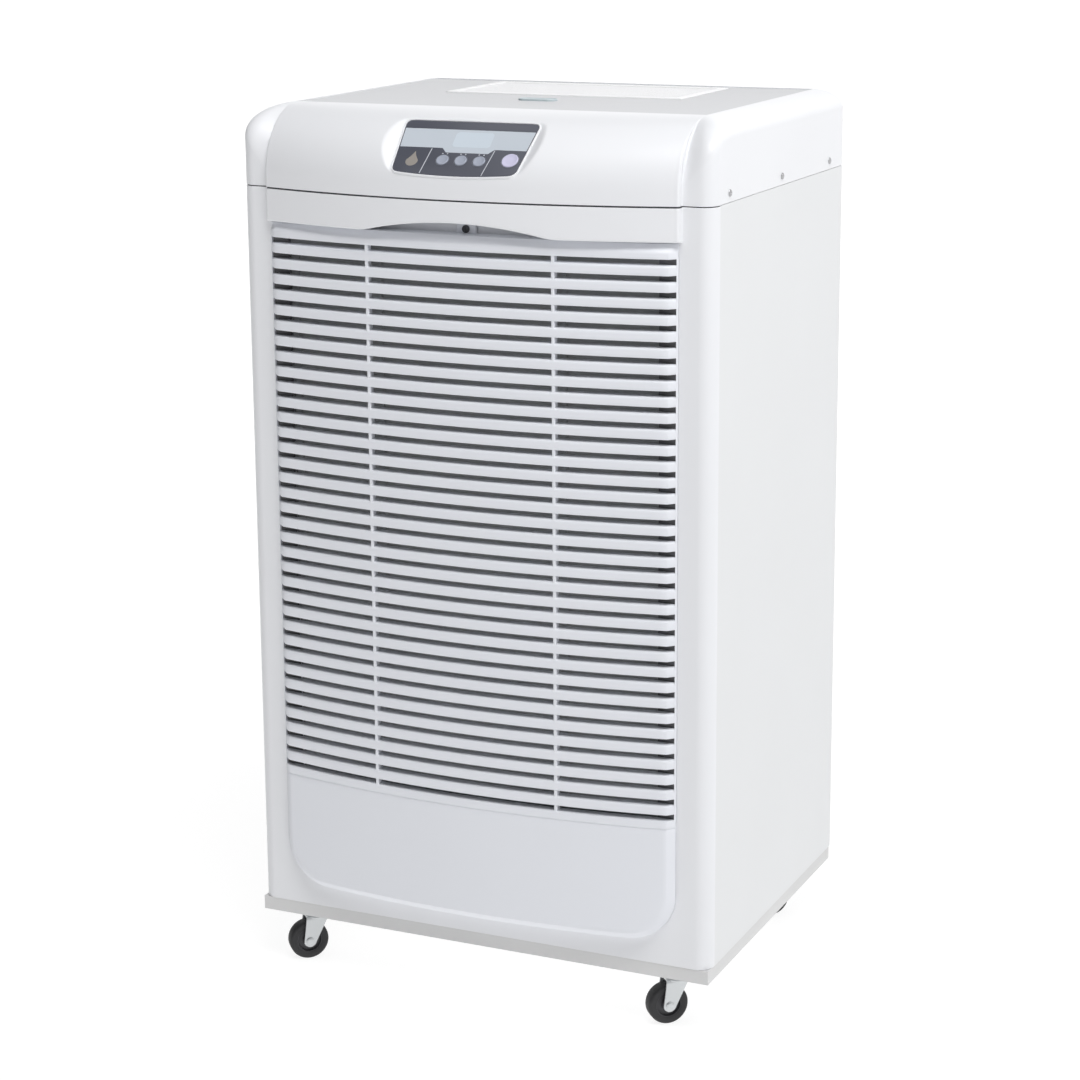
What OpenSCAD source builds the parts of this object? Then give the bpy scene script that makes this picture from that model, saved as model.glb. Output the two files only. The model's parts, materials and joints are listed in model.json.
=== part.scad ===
// Free-standing commercial dehumidifier on four swivel casters.
// Frame: +Z up, the front faces -Y, +X is to the right of someone at the front.
// The origin is at the middle of the footprint, on the floor.
// Most modules are drawn in "cabinet" space, where y is the depth behind the corner posts' front
// face, and cabinet() moves that space into the part's frame.

/* [Cabinet] */
// Width of the cabinet
cab_w = 600; // [560:10:640]
// Depth of the cabinet, corner posts to rear panel
cab_d = 450; // [450:5:470]
// Height over all, on its casters
cab_h = 1080; // [1075:1:1100]
// Height of the casters, floor to base pan
caster_h = 70; // [70:1:74]
// Height of the base pan's visible lip
lip_h = 17; // [14:1:20]
// Height of the top cover, seam to top
cover_h = 94; // [92:1:96]
// Thickness of the folded steel sheet
sheet = 2; // [1.5:0.5:2]
// Thickness of the moulded plastic walls
wall = 3; // [2.5:0.5:3.5]

/* [Front] */
// Width of the bowed middle of the front
bow_w = 524; // [520:2:530]
// How far the bowed brow stands out at its ends
brow_edge = 8; // [6:1:10]
// How far the bowed brow stands out at its middle
brow_mid = 46; // [42:1:50]
// How far the intake panel stands out at its ends
panel_edge = 10; // [8:1:11]
// How far the intake panel stands out at its middle
panel_mid = 36; // [34:1:38]
// Number of rows of intake slots
slot_rows = 36; // [30:1:38]
// Height of one intake slot
slot_h = 7.4; // [6:0.1:7.8]
// Pitch of the intake slots
slot_pitch = 18.57; // [18:0.01:18.6]

/* [Controls] */
// Slope of the control panel from the horizontal
control_tilt = 42; // [40:1:44]
// Diameter of the three small buttons
button_dia = 15; // [13:1:16]
// Diameter of the power button
power_dia = 20; // [18:1:21]

/* [Casters] */
// Diameter of a caster wheel
wheel_dia = 50; // [48:1:50]
// Width of a caster wheel
wheel_w = 19; // [17:1:20]
// Distance that a wheel trails its swivel axis
trail = 14; // [12:1:15]
// Angle at which the casters stand
caster_yaw = -48; // [-90:1:90]

/* [Fan] */
// Outer radius of the fan wheel
fan_r = 110; // [104:1:112]
// Number of fan blades
fan_blades = 32; // [24:2:36]

/* [Hidden] */
$fn = 64;
spout_out = 22;
depth_mid = (cab_d + spout_out - brow_mid) / 2;
half_w = cab_w / 2;
base_top = caster_h + lip_h;
seam_z = cab_h - cover_h;
post_r = 18;
frame_d = 20;
fit = 0.3;
slack = 0.05;
eps = 1;

// intake panel and the frame behind it
panel_w = bow_w - 6;
panel_z0 = 119;
panel_z1 = 944;
panel_corner = 57;
panel_back = -0.5;
rib_x = 118;
rib_t = 4;
rib_z0 = 200;
slot_z0 = 274;
slot_end = 2;
opening_x = 240;
opening_z0 = 150;
opening_z1 = 930;
fascia_z0 = 946;
arch_half = 117;
arch_rise = 14;
arch_r = (arch_half * arch_half + arch_rise * arch_rise) / (2 * arch_rise);
tab_w = 24;
tab_y = [-6, -2];
tab_z0 = 938;
tab_z1 = 955;
notch_gap = 0.1;
latch_stem_r = 2.5;
latch_z = 949;

// brow: quarter ellipse from the front face up to the flat top
brow_z0 = 1000;
brow_back = 75;
shoulder = 20;

// control panel, in its own tilted frame
ctl_y = -11;
ctl_z = cab_h - 38;
ctl_top_w = 169;
ctl_low_w = 155;
ctl_h = 78;
ctl_belly = 5;
bezel_margin = 11;
overlay_t = 1.5;
bezel_floor = 4;
button_y = -20;
button_xs = [-19, 4, 27];
power_at = [64.5, -17];
button_travel = 0.8;

// casters
plate_w = 54;
plate_t = 3;
bolt_pitch = 20;
bolt_r = 3;
swivel_x = 245;
swivel_y = [42, 408];
crown_z0 = 54.5;
crown_z1 = 58;
king_r = 4;
fork_gap = wheel_w / 2 + 0.7;
fork_t = 2;
axle_r = 3;

// screws
screw_r = 2;
screw_hole = 2.3;
screw_head_r = 4;
screw_head_t = 2.2;
cover_screw_y = [49, 224, 399];
cover_screw_z = seam_z + 11;
rear_screw_z = [120, 400, 680, 960];
rear_screw_x = 291;
frame_screw_x = 250;
frame_screw_z = [200, 540, 880];

// air path
bulkhead_z = 388;
coil_x = 225;
evap_y = [60, 100];
cond_y = [125, 175];
coil_z = [420, 900];
bend_r = 12.5;
coil_tube_r = 4.8;
coil_tube_z0 = 470;
coil_tube_dz = 45;
coil_bends = 9;
fan_at = [-110, 700];
fan_plate_y = 238;
volute_y = [262, 420];
eye_r = 95;
scroll_r0 = 122;
scroll_growth = 60;
duct_half = 150;
duct_z0 = 960;
duct_top = 1062;
motor_r = 48;
shaft_r = 6;

// outlet in the top cover
outlet_x = 150;
outlet_y = [270, 420];
outlet_rim = 8;
top_t = 4;
outlet_bars = 21;
badge_y = 195;

// sealed refrigerant circuit and drain
comp_at = [-90, 240];
comp_r = 72;
comp_z = [77, 350];
foot_z = [100, 103];
foot_r = 88;
accum_at = [15, 240];
accum_r = 28;
tray_x = 240;
tray_y = [45, 190];
spigot_at = [-220, 170];
hose_r = 8;
service_z = 125;
spout_x = -220;
gland_x = 220;
gland_bore = 4.5;
spout_bore = 6;

// electrical box
ebox_lo = [90, 40, 130];
ebox_hi = [240, 150, 340];

// ---------- helpers ----------

module cabinet() { translate([0, -depth_mid, 0]) children(); }
module block(lo, hi) { translate(lo) cube(hi - lo); }
module rod_x(at, r, len) { translate(at) rotate([0, 90, 0]) cylinder(r = r, h = len); }
module rod_y(at, r, len) { translate(at) rotate([-90, 0, 0]) cylinder(r = r, h = len); }
module rod_z(at, r, len) { translate(at) cylinder(r = r, h = len); }

function arc_radius(half, rise) = (half * half + rise * rise) / (2 * rise);

// solid cylinder whose skin is the bowed front, inset by a wall where asked
module bow_body(half, edge, mid, inset, z0, z1) {
  r = arc_radius(half, mid - edge);
  translate([0, r - mid, z0]) cylinder(r = r - inset, h = z1 - z0, $fn = 180);
}

// plate in the XZ plane with rounded lower corners
module panel_outline(w, z0, z1, r, y0, y1) {
  translate([0, y1, 0]) rotate([90, 0, 0]) linear_extrude(y1 - y0) union() {
    translate([-w / 2, z0 + r]) square([w, z1 - z0 - r]);
    translate([-w / 2 + r, z0]) square([w - 2 * r, z1 - z0]);
    translate([-w / 2 + r, z0 + r]) circle(r);
    translate([w / 2 - r, z0 + r]) circle(r);
  }
}

// one smooth corner of a pipe run, as a quadratic curve
function unit(v) = v / norm(v);
function bend(a, b, c, r, n) =
  let (p = b + unit(a - b) * r, q = b + unit(c - b) * r)
  [for (i = [0:n]) let (t = i / n) (1 - t) * (1 - t) * p + 2 * t * (1 - t) * b + t * t * q];
function run(pts, r, n = 4) = concat(
  [pts[0]],
  [for (k = [1:len(pts) - 2]) each bend(pts[k - 1], pts[k], pts[k + 1], r, n)],
  [pts[len(pts) - 1]]);
function run_dir(p, i) =
  i == 0 ? unit(p[1] - p[0]) :
  i == len(p) - 1 ? unit(p[i] - p[i - 1]) :
  unit(unit(p[i + 1] - p[i]) + unit(p[i] - p[i - 1]));

// closed tube of radius r along the points p
module pipe(p, r, sides = 10) {
  up = [0.31, 0.52, 0.79];
  ring = [for (i = [0:len(p) - 1])
    let (d = run_dir(p, i), a = unit(cross(d, up)), b = cross(d, a))
    each [for (k = [0:sides - 1]) p[i] + r * (cos(360 * k / sides) * a + sin(360 * k / sides) * b)]];
  last = (len(p) - 1) * sides;
  faces = concat(
    [[for (k = [0:sides - 1]) k]],
    [for (i = [0:len(p) - 2]) for (k = [0:sides - 1])
      let (n = (k + 1) % sides)
      [i * sides + k, (i + 1) * sides + k, (i + 1) * sides + n, i * sides + n]],
    [[for (k = [sides - 1:-1:0]) last + k]]);
  polyhedron(points = ring, faces = faces, convexity = 6);
}

module screw_y(at, len) {
  rod_y([at[0], at[1] - screw_head_t, at[2]], screw_head_r, screw_head_t);
  rod_y(at, screw_r, len);
}

// ---------- cabinet shells ----------

module base_pan() {
  rim = 14;
  color("lightgray") cabinet() difference() {
    block([1 - half_w, 1, caster_h], [half_w - 1, cab_d - 1, base_top]);
    block([1 - half_w + sheet, 1 + sheet, caster_h + sheet],
      [half_w - 1 - sheet, cab_d - 1 - sheet, base_top - sheet]);
    block([rim - half_w, rim, base_top - sheet - eps], [half_w - rim, cab_d - rim, base_top + eps]);
    for (x = [-1, 1], y = swivel_y, i = [-1, 1], j = [-1, 1])
      rod_z([x * swivel_x + i * bolt_pitch, y + j * bolt_pitch, caster_h - eps],
        bolt_r + fit, sheet + 2 * eps);
  }
}

module post_outline(w, r, back) {
  translate([-w / 2 + r, 0]) square([w - 2 * r, back]);
  translate([-w / 2, r]) square([w, back - r]);
  translate([-w / 2 + r, r]) circle(r);
  translate([w / 2 - r, r]) circle(r);
}

module fascia_body(inset, z0, z1) {
  intersection() {
    bow_body(bow_w / 2, brow_edge, brow_mid, inset, z0, z1);
    block([inset - bow_w / 2, -brow_mid - eps, z0], [bow_w / 2 - inset, eps, z1]);
  }
}

module front_frame() {
  post_h = seam_z - base_top;
  color("white") cabinet() difference() {
    union() {
      translate([0, 0, base_top]) linear_extrude(post_h) difference() {
        intersection() {
          post_outline(cab_w, post_r, frame_d + post_r);
          translate([-half_w, 0]) square([cab_w, frame_d]);
        }
        intersection() {
          translate([0, wall]) post_outline(cab_w - 2 * wall, post_r - wall, frame_d + post_r);
          translate([wall - half_w, wall]) square([cab_w - 2 * wall, frame_d]);
        }
      }
      block([-opening_x - wall, wall - eps, opening_z0 - wall],
        [opening_x + wall, frame_d, opening_z1 + wall]);
      for (x = [-1, 1], z = frame_screw_z)
        rod_y([x * frame_screw_x, wall - eps, z], 6, frame_d - wall + eps);
      difference() {
        fascia_body(0, fascia_z0, seam_z);
        fascia_body(wall, fascia_z0 + wall, seam_z + eps);
      }
      intersection() {
        fascia_body(0, fascia_z0, seam_z);
        rod_y([0, -brow_mid - eps, fascia_z0 + arch_rise - arch_r], arch_r + wall, brow_mid + 2 * eps);
      }
    }
    rod_y([0, -brow_mid - eps, fascia_z0 + arch_rise - arch_r], arch_r, brow_mid + eps);
    block([-opening_x, -eps, opening_z0], [opening_x, frame_d + eps, opening_z1]);
    for (x = [-1, 1], z = frame_screw_z)
      rod_y([x * frame_screw_x, -eps, z], screw_hole, frame_d + 2 * eps);
    rod_y([0, -eps, latch_z], 3.4, wall + 2 * eps);
  }
}

module intake_panel() {
  r = arc_radius(panel_w / 2, panel_mid - panel_edge);
  front = -panel_mid - eps;
  color("white") cabinet() difference() {
    union() {
      difference() {
        intersection() {
          bow_body(panel_w / 2, panel_edge, panel_mid, 0, panel_z0 - eps, panel_z1 + eps);
          panel_outline(panel_w, panel_z0, panel_z1, panel_corner, front, panel_back);
        }
        intersection() {
          bow_body(panel_w / 2, panel_edge, panel_mid, wall, panel_z0 - eps, panel_z1 + eps);
          panel_outline(panel_w - 2 * wall, panel_z0 + wall, panel_z1 - wall, panel_corner - wall,
            front, panel_back + eps);
        }
      }
      // stiffening ribs, which also carry the filter
      intersection() {
        bow_body(panel_w / 2, panel_edge, panel_mid, wall / 2, panel_z0, panel_z1);
        union() {
          for (s = [-1, 1])
            block([s * rib_x - rib_t / 2, front, rib_z0], [s * rib_x + rib_t / 2, 2, opening_z1 - 2]);
        }
      }
    }
    // notch in the top wall for the latch bracket
    block([-tab_w / 2 - notch_gap, tab_y[0] - notch_gap, panel_z1 - wall - eps],
      [tab_w / 2 + notch_gap, tab_y[1] + notch_gap, panel_z1 + eps]);
    for (i = [0:slot_rows - 1], bay = [[-panel_w / 2 + slot_end, -rib_x - rib_t / 2],
        [-rib_x + rib_t / 2, rib_x - rib_t / 2], [rib_x + rib_t / 2, panel_w / 2 - slot_end]])
      block([bay[0], front, slot_z0 + i * slot_pitch - slot_h / 2],
        [bay[1], panel_back - eps, slot_z0 + i * slot_pitch + slot_h / 2]);
  }
  // bracket that holds the latch, in the finger recess
  color("white") cabinet() difference() {
    block([-tab_w / 2, tab_y[0], tab_z0], [tab_w / 2, tab_y[1], tab_z1]);
    rod_y([0, tab_y[0] - eps, latch_z], latch_stem_r + slack, tab_y[1] - tab_y[0] + 2 * eps);
  }
}

module air_filter() {
  edge = 10;
  x = opening_x - 4;
  z0 = opening_z0 + 5;
  z1 = opening_z1 - 5;
  color("dimgray") cabinet() union() {
    difference() {
      block([-x, 2, z0], [x, 9, z1]);
      block([-x + edge, 2 - eps, z0 + edge], [x - edge, 9 + eps, z1 - edge]);
    }
    block([-x + edge / 2, 4.5, z0 + edge / 2], [x - edge / 2, 6.5, z1 - edge / 2]);
    for (s = [-1, 1])
      block([s * rib_x - 3, 2, z0 + edge / 2], [s * rib_x + 3, 9, z1 - edge / 2]);
  }
}

module panel_latch() {
  color("dimgray") cabinet() difference() {
    union() {
      rod_y([0, -8.3, latch_z], 4.5, 2);
      rod_y([0, -8.3, latch_z], latch_stem_r, 14);
    }
    block([-0.6, -9, latch_z - 3.5], [0.6, -7.3, latch_z + 3.5]);
  }
}

module side_panel(s) {
  flange = 12;
  inner = half_w - sheet;
  color("whitesmoke") cabinet() difference() {
    union() {
      block([min(s * inner, s * half_w), frame_d, base_top],
        [max(s * inner, s * half_w), cab_d - sheet, seam_z]);
      block([min(s * 243, s * inner), frame_d, base_top],
        [max(s * 243, s * inner), frame_d + sheet, seam_z]);
      block([min(s * (inner - flange), s * inner), cab_d - 2 * sheet, base_top],
        [max(s * (inner - flange), s * inner), cab_d - sheet, seam_z]);
      block([min(s * (inner - wall), s * inner), frame_d + sheet, seam_z - sheet],
        [max(s * (inner - wall), s * inner), cab_d - 2 * sheet, seam_z]);
      block([min(s * (half_w - wall - sheet), s * (half_w - wall)), frame_d + 5, seam_z - sheet],
        [max(s * (half_w - wall - sheet), s * (half_w - wall)), cab_d - 10, seam_z + 26]);
    }
    for (z = frame_screw_z)
      rod_y([s * frame_screw_x, frame_d - eps, z], screw_hole, sheet + 2 * eps);
    for (z = rear_screw_z)
      rod_y([s * rear_screw_x, cab_d - 2 * sheet - eps, z], screw_hole, sheet + 2 * eps);
    for (y = cover_screw_y)
      rod_x([s * half_w - 10, y, cover_screw_z], screw_hole, 20);
  }
}
module left_side_panel() { side_panel(-1); }
module right_side_panel() { side_panel(1); }

module rear_panel() {
  color("whitesmoke") cabinet() difference() {
    block([-half_w, cab_d - sheet, base_top], [half_w, cab_d, seam_z]);
    for (s = [-1, 1], z = rear_screw_z)
      rod_y([s * rear_screw_x, cab_d - sheet - eps, z], screw_hole, sheet + 2 * eps);
    rod_y([spout_x, cab_d - sheet - eps, service_z], hose_r + fit, sheet + 2 * eps);
    rod_y([gland_x, cab_d - sheet - eps, service_z], hose_r + fit, sheet + 2 * eps);
  }
}

// section of the top cover: a quarter ellipse up the front, flat top, straight rear
module cover_section(proud, inset) {
  z0 = inset > 0 ? seam_z - eps : seam_z;
  top = inset > 0 ? cab_h - top_t : cab_h;
  n = 12;
  polygon(concat(
    [[cab_d - inset, z0], [inset - proud, z0]],
    [for (i = [0:n]) let (a = i * 90 / n)
      [brow_back - (brow_back + proud - inset) * cos(a), brow_z0 + (top - brow_z0) * sin(a)]],
    [[cab_d - inset, top]]));
}

// full-width part of the cover, with rounded shoulders along both sides
module cover_ends(inset) {
  r = shoulder - inset;
  w = cab_w - 2 * inset;
  top = inset > 0 ? cab_h - top_t : cab_h;
  intersection() {
    translate([-w / 2, 0, 0]) rotate([90, 0, 90]) linear_extrude(w) cover_section(0, inset);
    translate([0, cab_d, 0]) rotate([90, 0, 0]) linear_extrude(cab_d) union() {
      translate([-w / 2, seam_z - 2 * eps]) square([w, top - r - seam_z + 2 * eps]);
      translate([-w / 2 + r, seam_z - 2 * eps]) square([w - 2 * r, top - seam_z + 2 * eps]);
      for (s = [-1, 1]) translate([s * (w / 2 - r), top - r]) circle(r);
    }
  }
}

// bowed middle of the cover
module cover_middle(inset) {
  w = bow_w - 2 * inset;
  intersection() {
    translate([-w / 2, 0, 0]) rotate([90, 0, 90]) linear_extrude(w) cover_section(brow_mid, inset);
    bow_body(bow_w / 2, brow_edge, brow_mid, inset, seam_z - 2 * eps, cab_h + eps);
  }
}

module control_frame() {
  cabinet() translate([0, ctl_y, ctl_z]) rotate([control_tilt, 0, 0]) children();
}

// outline of the dark control panel, grown by a margin
module control_outline(m) {
  b = ctl_belly;
  n = 8;
  polygon(concat(
    [[ctl_top_w / 2 + m, ctl_h / 2 + m], [-ctl_top_w / 2 - m, ctl_h / 2 + m]],
    [for (i = [0:n]) let (t = -1 + 2 * i / n)
      [t * (ctl_low_w / 2 + m), -ctl_h / 2 - m - b * (1 - t * t)]]));
}

module top_cover() {
  color("white") difference() {
    cabinet() difference() {
      union() {
        cover_ends(0);
        cover_middle(0);
      }
      union() {
        cover_ends(wall);
        cover_middle(wall);
      }
      block([-outlet_x, outlet_y[0], cab_h - 3 * top_t], [outlet_x, outlet_y[1], cab_h + eps]);
      block([-outlet_x - outlet_rim, outlet_y[0] - outlet_rim, cab_h - top_t / 2],
        [outlet_x + outlet_rim, outlet_y[1] + outlet_rim, cab_h + eps]);
      for (s = [-1, 1], y = cover_screw_y)
        rod_x([s * half_w - 10, y, cover_screw_z], screw_hole, 20);
    }
    control_frame() translate([0, 0, -bezel_floor]) linear_extrude(60)
      control_outline(bezel_margin + fit);
  }
}

module outlet_grille() {
  gap = (outlet_y[1] - outlet_y[0] - 2 * fit) / outlet_bars;
  color("white") cabinet() union() {
    difference() {
      union() {
        block([fit - outlet_x - outlet_rim, fit + outlet_y[0] - outlet_rim, cab_h - top_t / 2],
          [outlet_x + outlet_rim - fit, outlet_y[1] + outlet_rim - fit, cab_h]);
        block([fit - outlet_x, outlet_y[0] + fit, cab_h - 14], [outlet_x - fit, outlet_y[1] - fit, cab_h]);
      }
      block([4 - outlet_x, outlet_y[0] + 4, cab_h - 15], [outlet_x - 4, outlet_y[1] - 4, cab_h + eps]);
    }
    for (i = [1:outlet_bars - 1])
      block([3.5 - outlet_x, outlet_y[0] + fit + i * gap - 1.2, cab_h - 12],
        [outlet_x - 3.5, outlet_y[0] + fit + i * gap + 1.2, cab_h - 1]);
    for (x = [-75, 0, 75])
      block([x - 1.5, outlet_y[0] + 3.5, cab_h - 13], [x + 1.5, outlet_y[1] - 3.5, cab_h - 3]);
  }
}

module badge() {
  badge_w = 50;
  badge_d = 20;
  r = badge_d / 2;
  color("lightsteelblue") cabinet() translate([0, badge_y, cab_h]) linear_extrude(1) union() {
    translate([-badge_w / 2 + r, -r]) square([badge_w - 2 * r, badge_d]);
    translate([-badge_w / 2 + r, 0]) circle(r);
    translate([badge_w / 2 - r, 0]) circle(r);
  }
}

// ---------- controls ----------

module button_holes(clear) {
  for (x = button_xs)
    translate([x, button_y, -2 * bezel_floor]) cylinder(d = button_dia + 2 * clear, h = 4 * bezel_floor);
  translate([power_at[0], power_at[1], -2 * bezel_floor])
    cylinder(d = power_dia + 2 * clear, h = 4 * bezel_floor);
}

module control_bezel() {
  color("white") intersection() {
    control_frame() union() {
      difference() {
        translate([0, 0, -bezel_floor]) linear_extrude(30) control_outline(bezel_margin);
        linear_extrude(30) control_outline(bezel_margin - 2.5);
        translate([0, 0, -overlay_t]) linear_extrude(30) control_outline(fit);
        button_holes(fit + 0.2);
      }
      for (x = [-70, 70], y = [-30, 30])
        translate([x, y, -8.4]) cylinder(r = 2.5, h = 8.4 - bezel_floor + 0.5);
    }
    cabinet() cover_middle(0);
  }
}

module control_overlay() {
  color("darkslategray") control_frame() difference() {
    translate([0, 0, -overlay_t]) linear_extrude(overlay_t) control_outline(0);
    translate([0, 0, -0.6]) linear_extrude(2) window_outline(0.1);
    button_holes(fit + 0.2);
  }
}

module window_outline(m) {
  polygon([[-76 - m, 27 + m], [-75 - m, -2 - m], [-24, -2 - m], [-18, -8 - m], [34, -8 - m],
    [40, -2 - m], [75 + m, -2 - m], [76 + m, 27 + m]]);
}

module display_window() {
  color("lightsteelblue") control_frame() translate([0, 0, -0.6]) linear_extrude(0.6) window_outline(0);
}

module control_board() {
  color("darkgreen") control_frame() union() {
    translate([-76, -36, -10]) cube([152, 72, 1.6]);
    for (x = button_xs)
      translate([x - 3, button_y - 3, -8.4]) cube([6, 6, 0.8]);
    translate([power_at[0] - 3, power_at[1] - 3, -8.4]) cube([6, 6, 0.8]);
    translate([-40, 2, -8.4]) cube([80, 20, 3]);
  }
}

module push_button(at, dia) {
  cap = 1.5;
  flange_t = 1.6;
  control_frame() translate([at[0], at[1], 0]) union() {
    translate([0, 0, -bezel_floor - fit - flange_t]) cylinder(d = dia + 3, h = flange_t);
    translate([0, 0, -bezel_floor - fit - flange_t]) cylinder(d = dia, h = bezel_floor + fit + flange_t + cap);
  }
}
module button_left() { color("slategray") push_button([button_xs[0], button_y], button_dia); }
module button_middle() { color("slategray") push_button([button_xs[1], button_y], button_dia); }
module button_right() { color("slategray") push_button([button_xs[2], button_y], button_dia); }
module power_button() { color("lavender") push_button(power_at, power_dia); }

// ---------- fasteners ----------

module cover_screws() {
  color("silver") cabinet() for (s = [-1, 1], y = cover_screw_y) {
    rod_x([s > 0 ? half_w : -half_w - screw_head_t, y, cover_screw_z], screw_head_r, screw_head_t);
    rod_x([s > 0 ? half_w - 9 : -half_w, y, cover_screw_z], screw_r, 9);
  }
}

module rear_screws() {
  color("silver") cabinet() for (s = [-1, 1], z = rear_screw_z) {
    rod_y([s * rear_screw_x, cab_d, z], screw_head_r, screw_head_t);
    rod_y([s * rear_screw_x, cab_d - 9, z], screw_r, 9);
  }
}

module frame_screws() {
  color("silver") cabinet() for (s = [-1, 1], z = frame_screw_z)
    screw_y([s * frame_screw_x, 0, z], frame_d + 5);
}

// ---------- casters ----------

module at_caster(sx, row) { cabinet() translate([sx * swivel_x, swivel_y[row], 0]) children(); }
module turned() { rotate([0, 0, caster_yaw]) children(); }

module caster_plates() {
  color("silver") for (sx = [-1, 1], row = [0, 1]) at_caster(sx, row) difference() {
    union() {
      translate([-plate_w / 2, -plate_w / 2, caster_h - plate_t]) cube([plate_w, plate_w, plate_t]);
      rod_z([0, 0, crown_z1 + fit], 15, caster_h - crown_z1 - fit);
      rod_z([0, 0, crown_z0 - fit], king_r, crown_z1 - crown_z0 + 3 * fit);
      rod_z([0, 0, crown_z0 - fit - 2.7], 7, 2.7);
    }
    for (i = [-1, 1], j = [-1, 1])
      rod_z([i * bolt_pitch, j * bolt_pitch, caster_h - plate_t - eps], bolt_r + fit, plate_t + 2 * eps);
  }
}

module caster_bolts() {
  color("silver") for (sx = [-1, 1], row = [0, 1]) at_caster(sx, row)
    for (i = [-1, 1], j = [-1, 1]) {
      rod_z([i * bolt_pitch, j * bolt_pitch, caster_h - plate_t - 4], 5, 4);
      rod_z([i * bolt_pitch, j * bolt_pitch, caster_h - plate_t], bolt_r, plate_t + sheet + 7);
      translate([i * bolt_pitch, j * bolt_pitch, caster_h + sheet])
        cylinder(r = 5.8, h = 5, $fn = 6);
    }
}

module caster_fork(sx, row) {
  color("silver") at_caster(sx, row) turned() difference() {
    union() {
      rod_z([0, 0, crown_z0], 17, crown_z1 - crown_z0);
      for (s = [-1, 1])
        translate([s * (fork_gap + fork_t / 2) - fork_t / 2, 0, 0]) rotate([90, 0, 90])
          linear_extrude(fork_t) union() {
            translate([-trail, wheel_dia / 2]) circle(8);
            polygon([[-trail - 8, wheel_dia / 2], [-15, crown_z1 - 1], [11, crown_z1 - 1],
              [-trail + 6.8, wheel_dia / 2 - 4.2]]);
          }
    }
    rod_z([0, 0, crown_z0 - eps], king_r + slack, crown_z1 - crown_z0 + 2 * eps);
    rod_x([-30, -trail, wheel_dia / 2], axle_r + slack, 60);
  }
}

module caster_axle(sx, row) {
  out = fork_gap + fork_t;
  color("gainsboro") at_caster(sx, row) turned() union() {
    rod_x([-out, -trail, wheel_dia / 2], axle_r, 2 * out);
    rod_x([-out - 2, -trail, wheel_dia / 2], 5, 2);
    rod_x([out, -trail, wheel_dia / 2], 5, 2);
  }
}

module caster_wheel(sx, row) {
  r = wheel_dia / 2;
  w = wheel_w / 2;
  color("black") at_caster(sx, row) turned() translate([0, -trail, r]) rotate([0, 90, 0])
    rotate_extrude($fn = 72) difference() {
      union() {
        translate([0, -w]) square([9, 2 * w]);
        translate([0, 1 - w]) square([r - 4, 2 * w - 2]);
        translate([0, 5 - w]) square([r, 2 * w - 10]);
        translate([r - 4, 5 - w]) circle(4);
        translate([r - 4, w - 5]) circle(4);
      }
      translate([-eps, -w - eps]) square([axle_r + slack + eps, 2 * w + 2 * eps]);
      translate([12, -w]) square([5, 2.5]);
      translate([12, w - 2.5]) square([5, 3]);
    }
}

module caster_fork_fl() { caster_fork(-1, 0); }
module caster_fork_fr() { caster_fork(1, 0); }
module caster_fork_rl() { caster_fork(-1, 1); }
module caster_fork_rr() { caster_fork(1, 1); }
module caster_axle_fl() { caster_axle(-1, 0); }
module caster_axle_fr() { caster_axle(1, 0); }
module caster_axle_rl() { caster_axle(-1, 1); }
module caster_axle_rr() { caster_axle(1, 1); }
module caster_wheel_fl() { caster_wheel(-1, 0); }
module caster_wheel_fr() { caster_wheel(1, 0); }
module caster_wheel_rl() { caster_wheel(-1, 1); }
module caster_wheel_rr() { caster_wheel(1, 1); }

// ---------- refrigeration ----------

// upright vessel with rounded ends
module vessel(at, r, z0, z1, corner) {
  translate([at[0], at[1], z0]) rotate_extrude() intersection() {
    union() {
      square([r - corner, z1 - z0]);
      translate([0, corner]) square([r, z1 - z0 - 2 * corner]);
      translate([r - corner, corner]) circle(corner);
      translate([r - corner, z1 - z0 - corner]) circle(corner);
    }
    square([r, z1 - z0]);
  }
}

function foot(i) = [comp_at[0] + foot_r * cos(90 + 120 * i), comp_at[1] + foot_r * sin(90 + 120 * i)];

module compressor() {
  color("dimgray") cabinet() difference() {
    union() {
      vessel(comp_at, comp_r, comp_z[0], comp_z[1], 22);
      rod_z([comp_at[0], comp_at[1], 230], comp_r + 2, 8);
      for (i = [0:2])
        translate([comp_at[0], comp_at[1], foot_z[0]]) rotate([0, 0, 90 + 120 * i])
          translate([comp_r - 10, -12, 0]) cube([foot_r - comp_r + 22, 24, foot_z[1] - foot_z[0]]);
      block([comp_at[0] - 25, comp_at[1] - comp_r - 14, 280], [comp_at[0] + 25, comp_at[1] - comp_r + 20, 320]);
    }
    for (i = [0:2])
      rod_z([foot(i)[0], foot(i)[1], foot_z[0] - 5], 4.2, 15);
  }
}

module compressor_mounts() {
  color("black") cabinet() for (i = [0:2]) difference() {
    union() {
      rod_z([foot(i)[0], foot(i)[1], caster_h + sheet], 13, foot_z[0] - caster_h - sheet);
      rod_z([foot(i)[0], foot(i)[1], caster_h + sheet], 16, 6);
    }
    rod_z([foot(i)[0], foot(i)[1], caster_h + sheet - eps], 4.2, 40);
  }
}

module compressor_bolts() {
  color("silver") cabinet() for (i = [0:2]) {
    rod_z([foot(i)[0], foot(i)[1], caster_h + sheet], 4, foot_z[1] - caster_h - sheet + 9);
    translate([foot(i)[0], foot(i)[1], foot_z[1]]) cylinder(r = 7.5, h = 6, $fn = 6);
  }
}

module accumulator() {
  color("dimgray") cabinet() union() {
    vessel(accum_at, accum_r, 160, 310, 14);
    block([accum_at[0] - accum_r - 4.5, accum_at[1] - 6, 214], [accum_at[0] - accum_r + 4, accum_at[1] + 6, 226]);
  }
}

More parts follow.
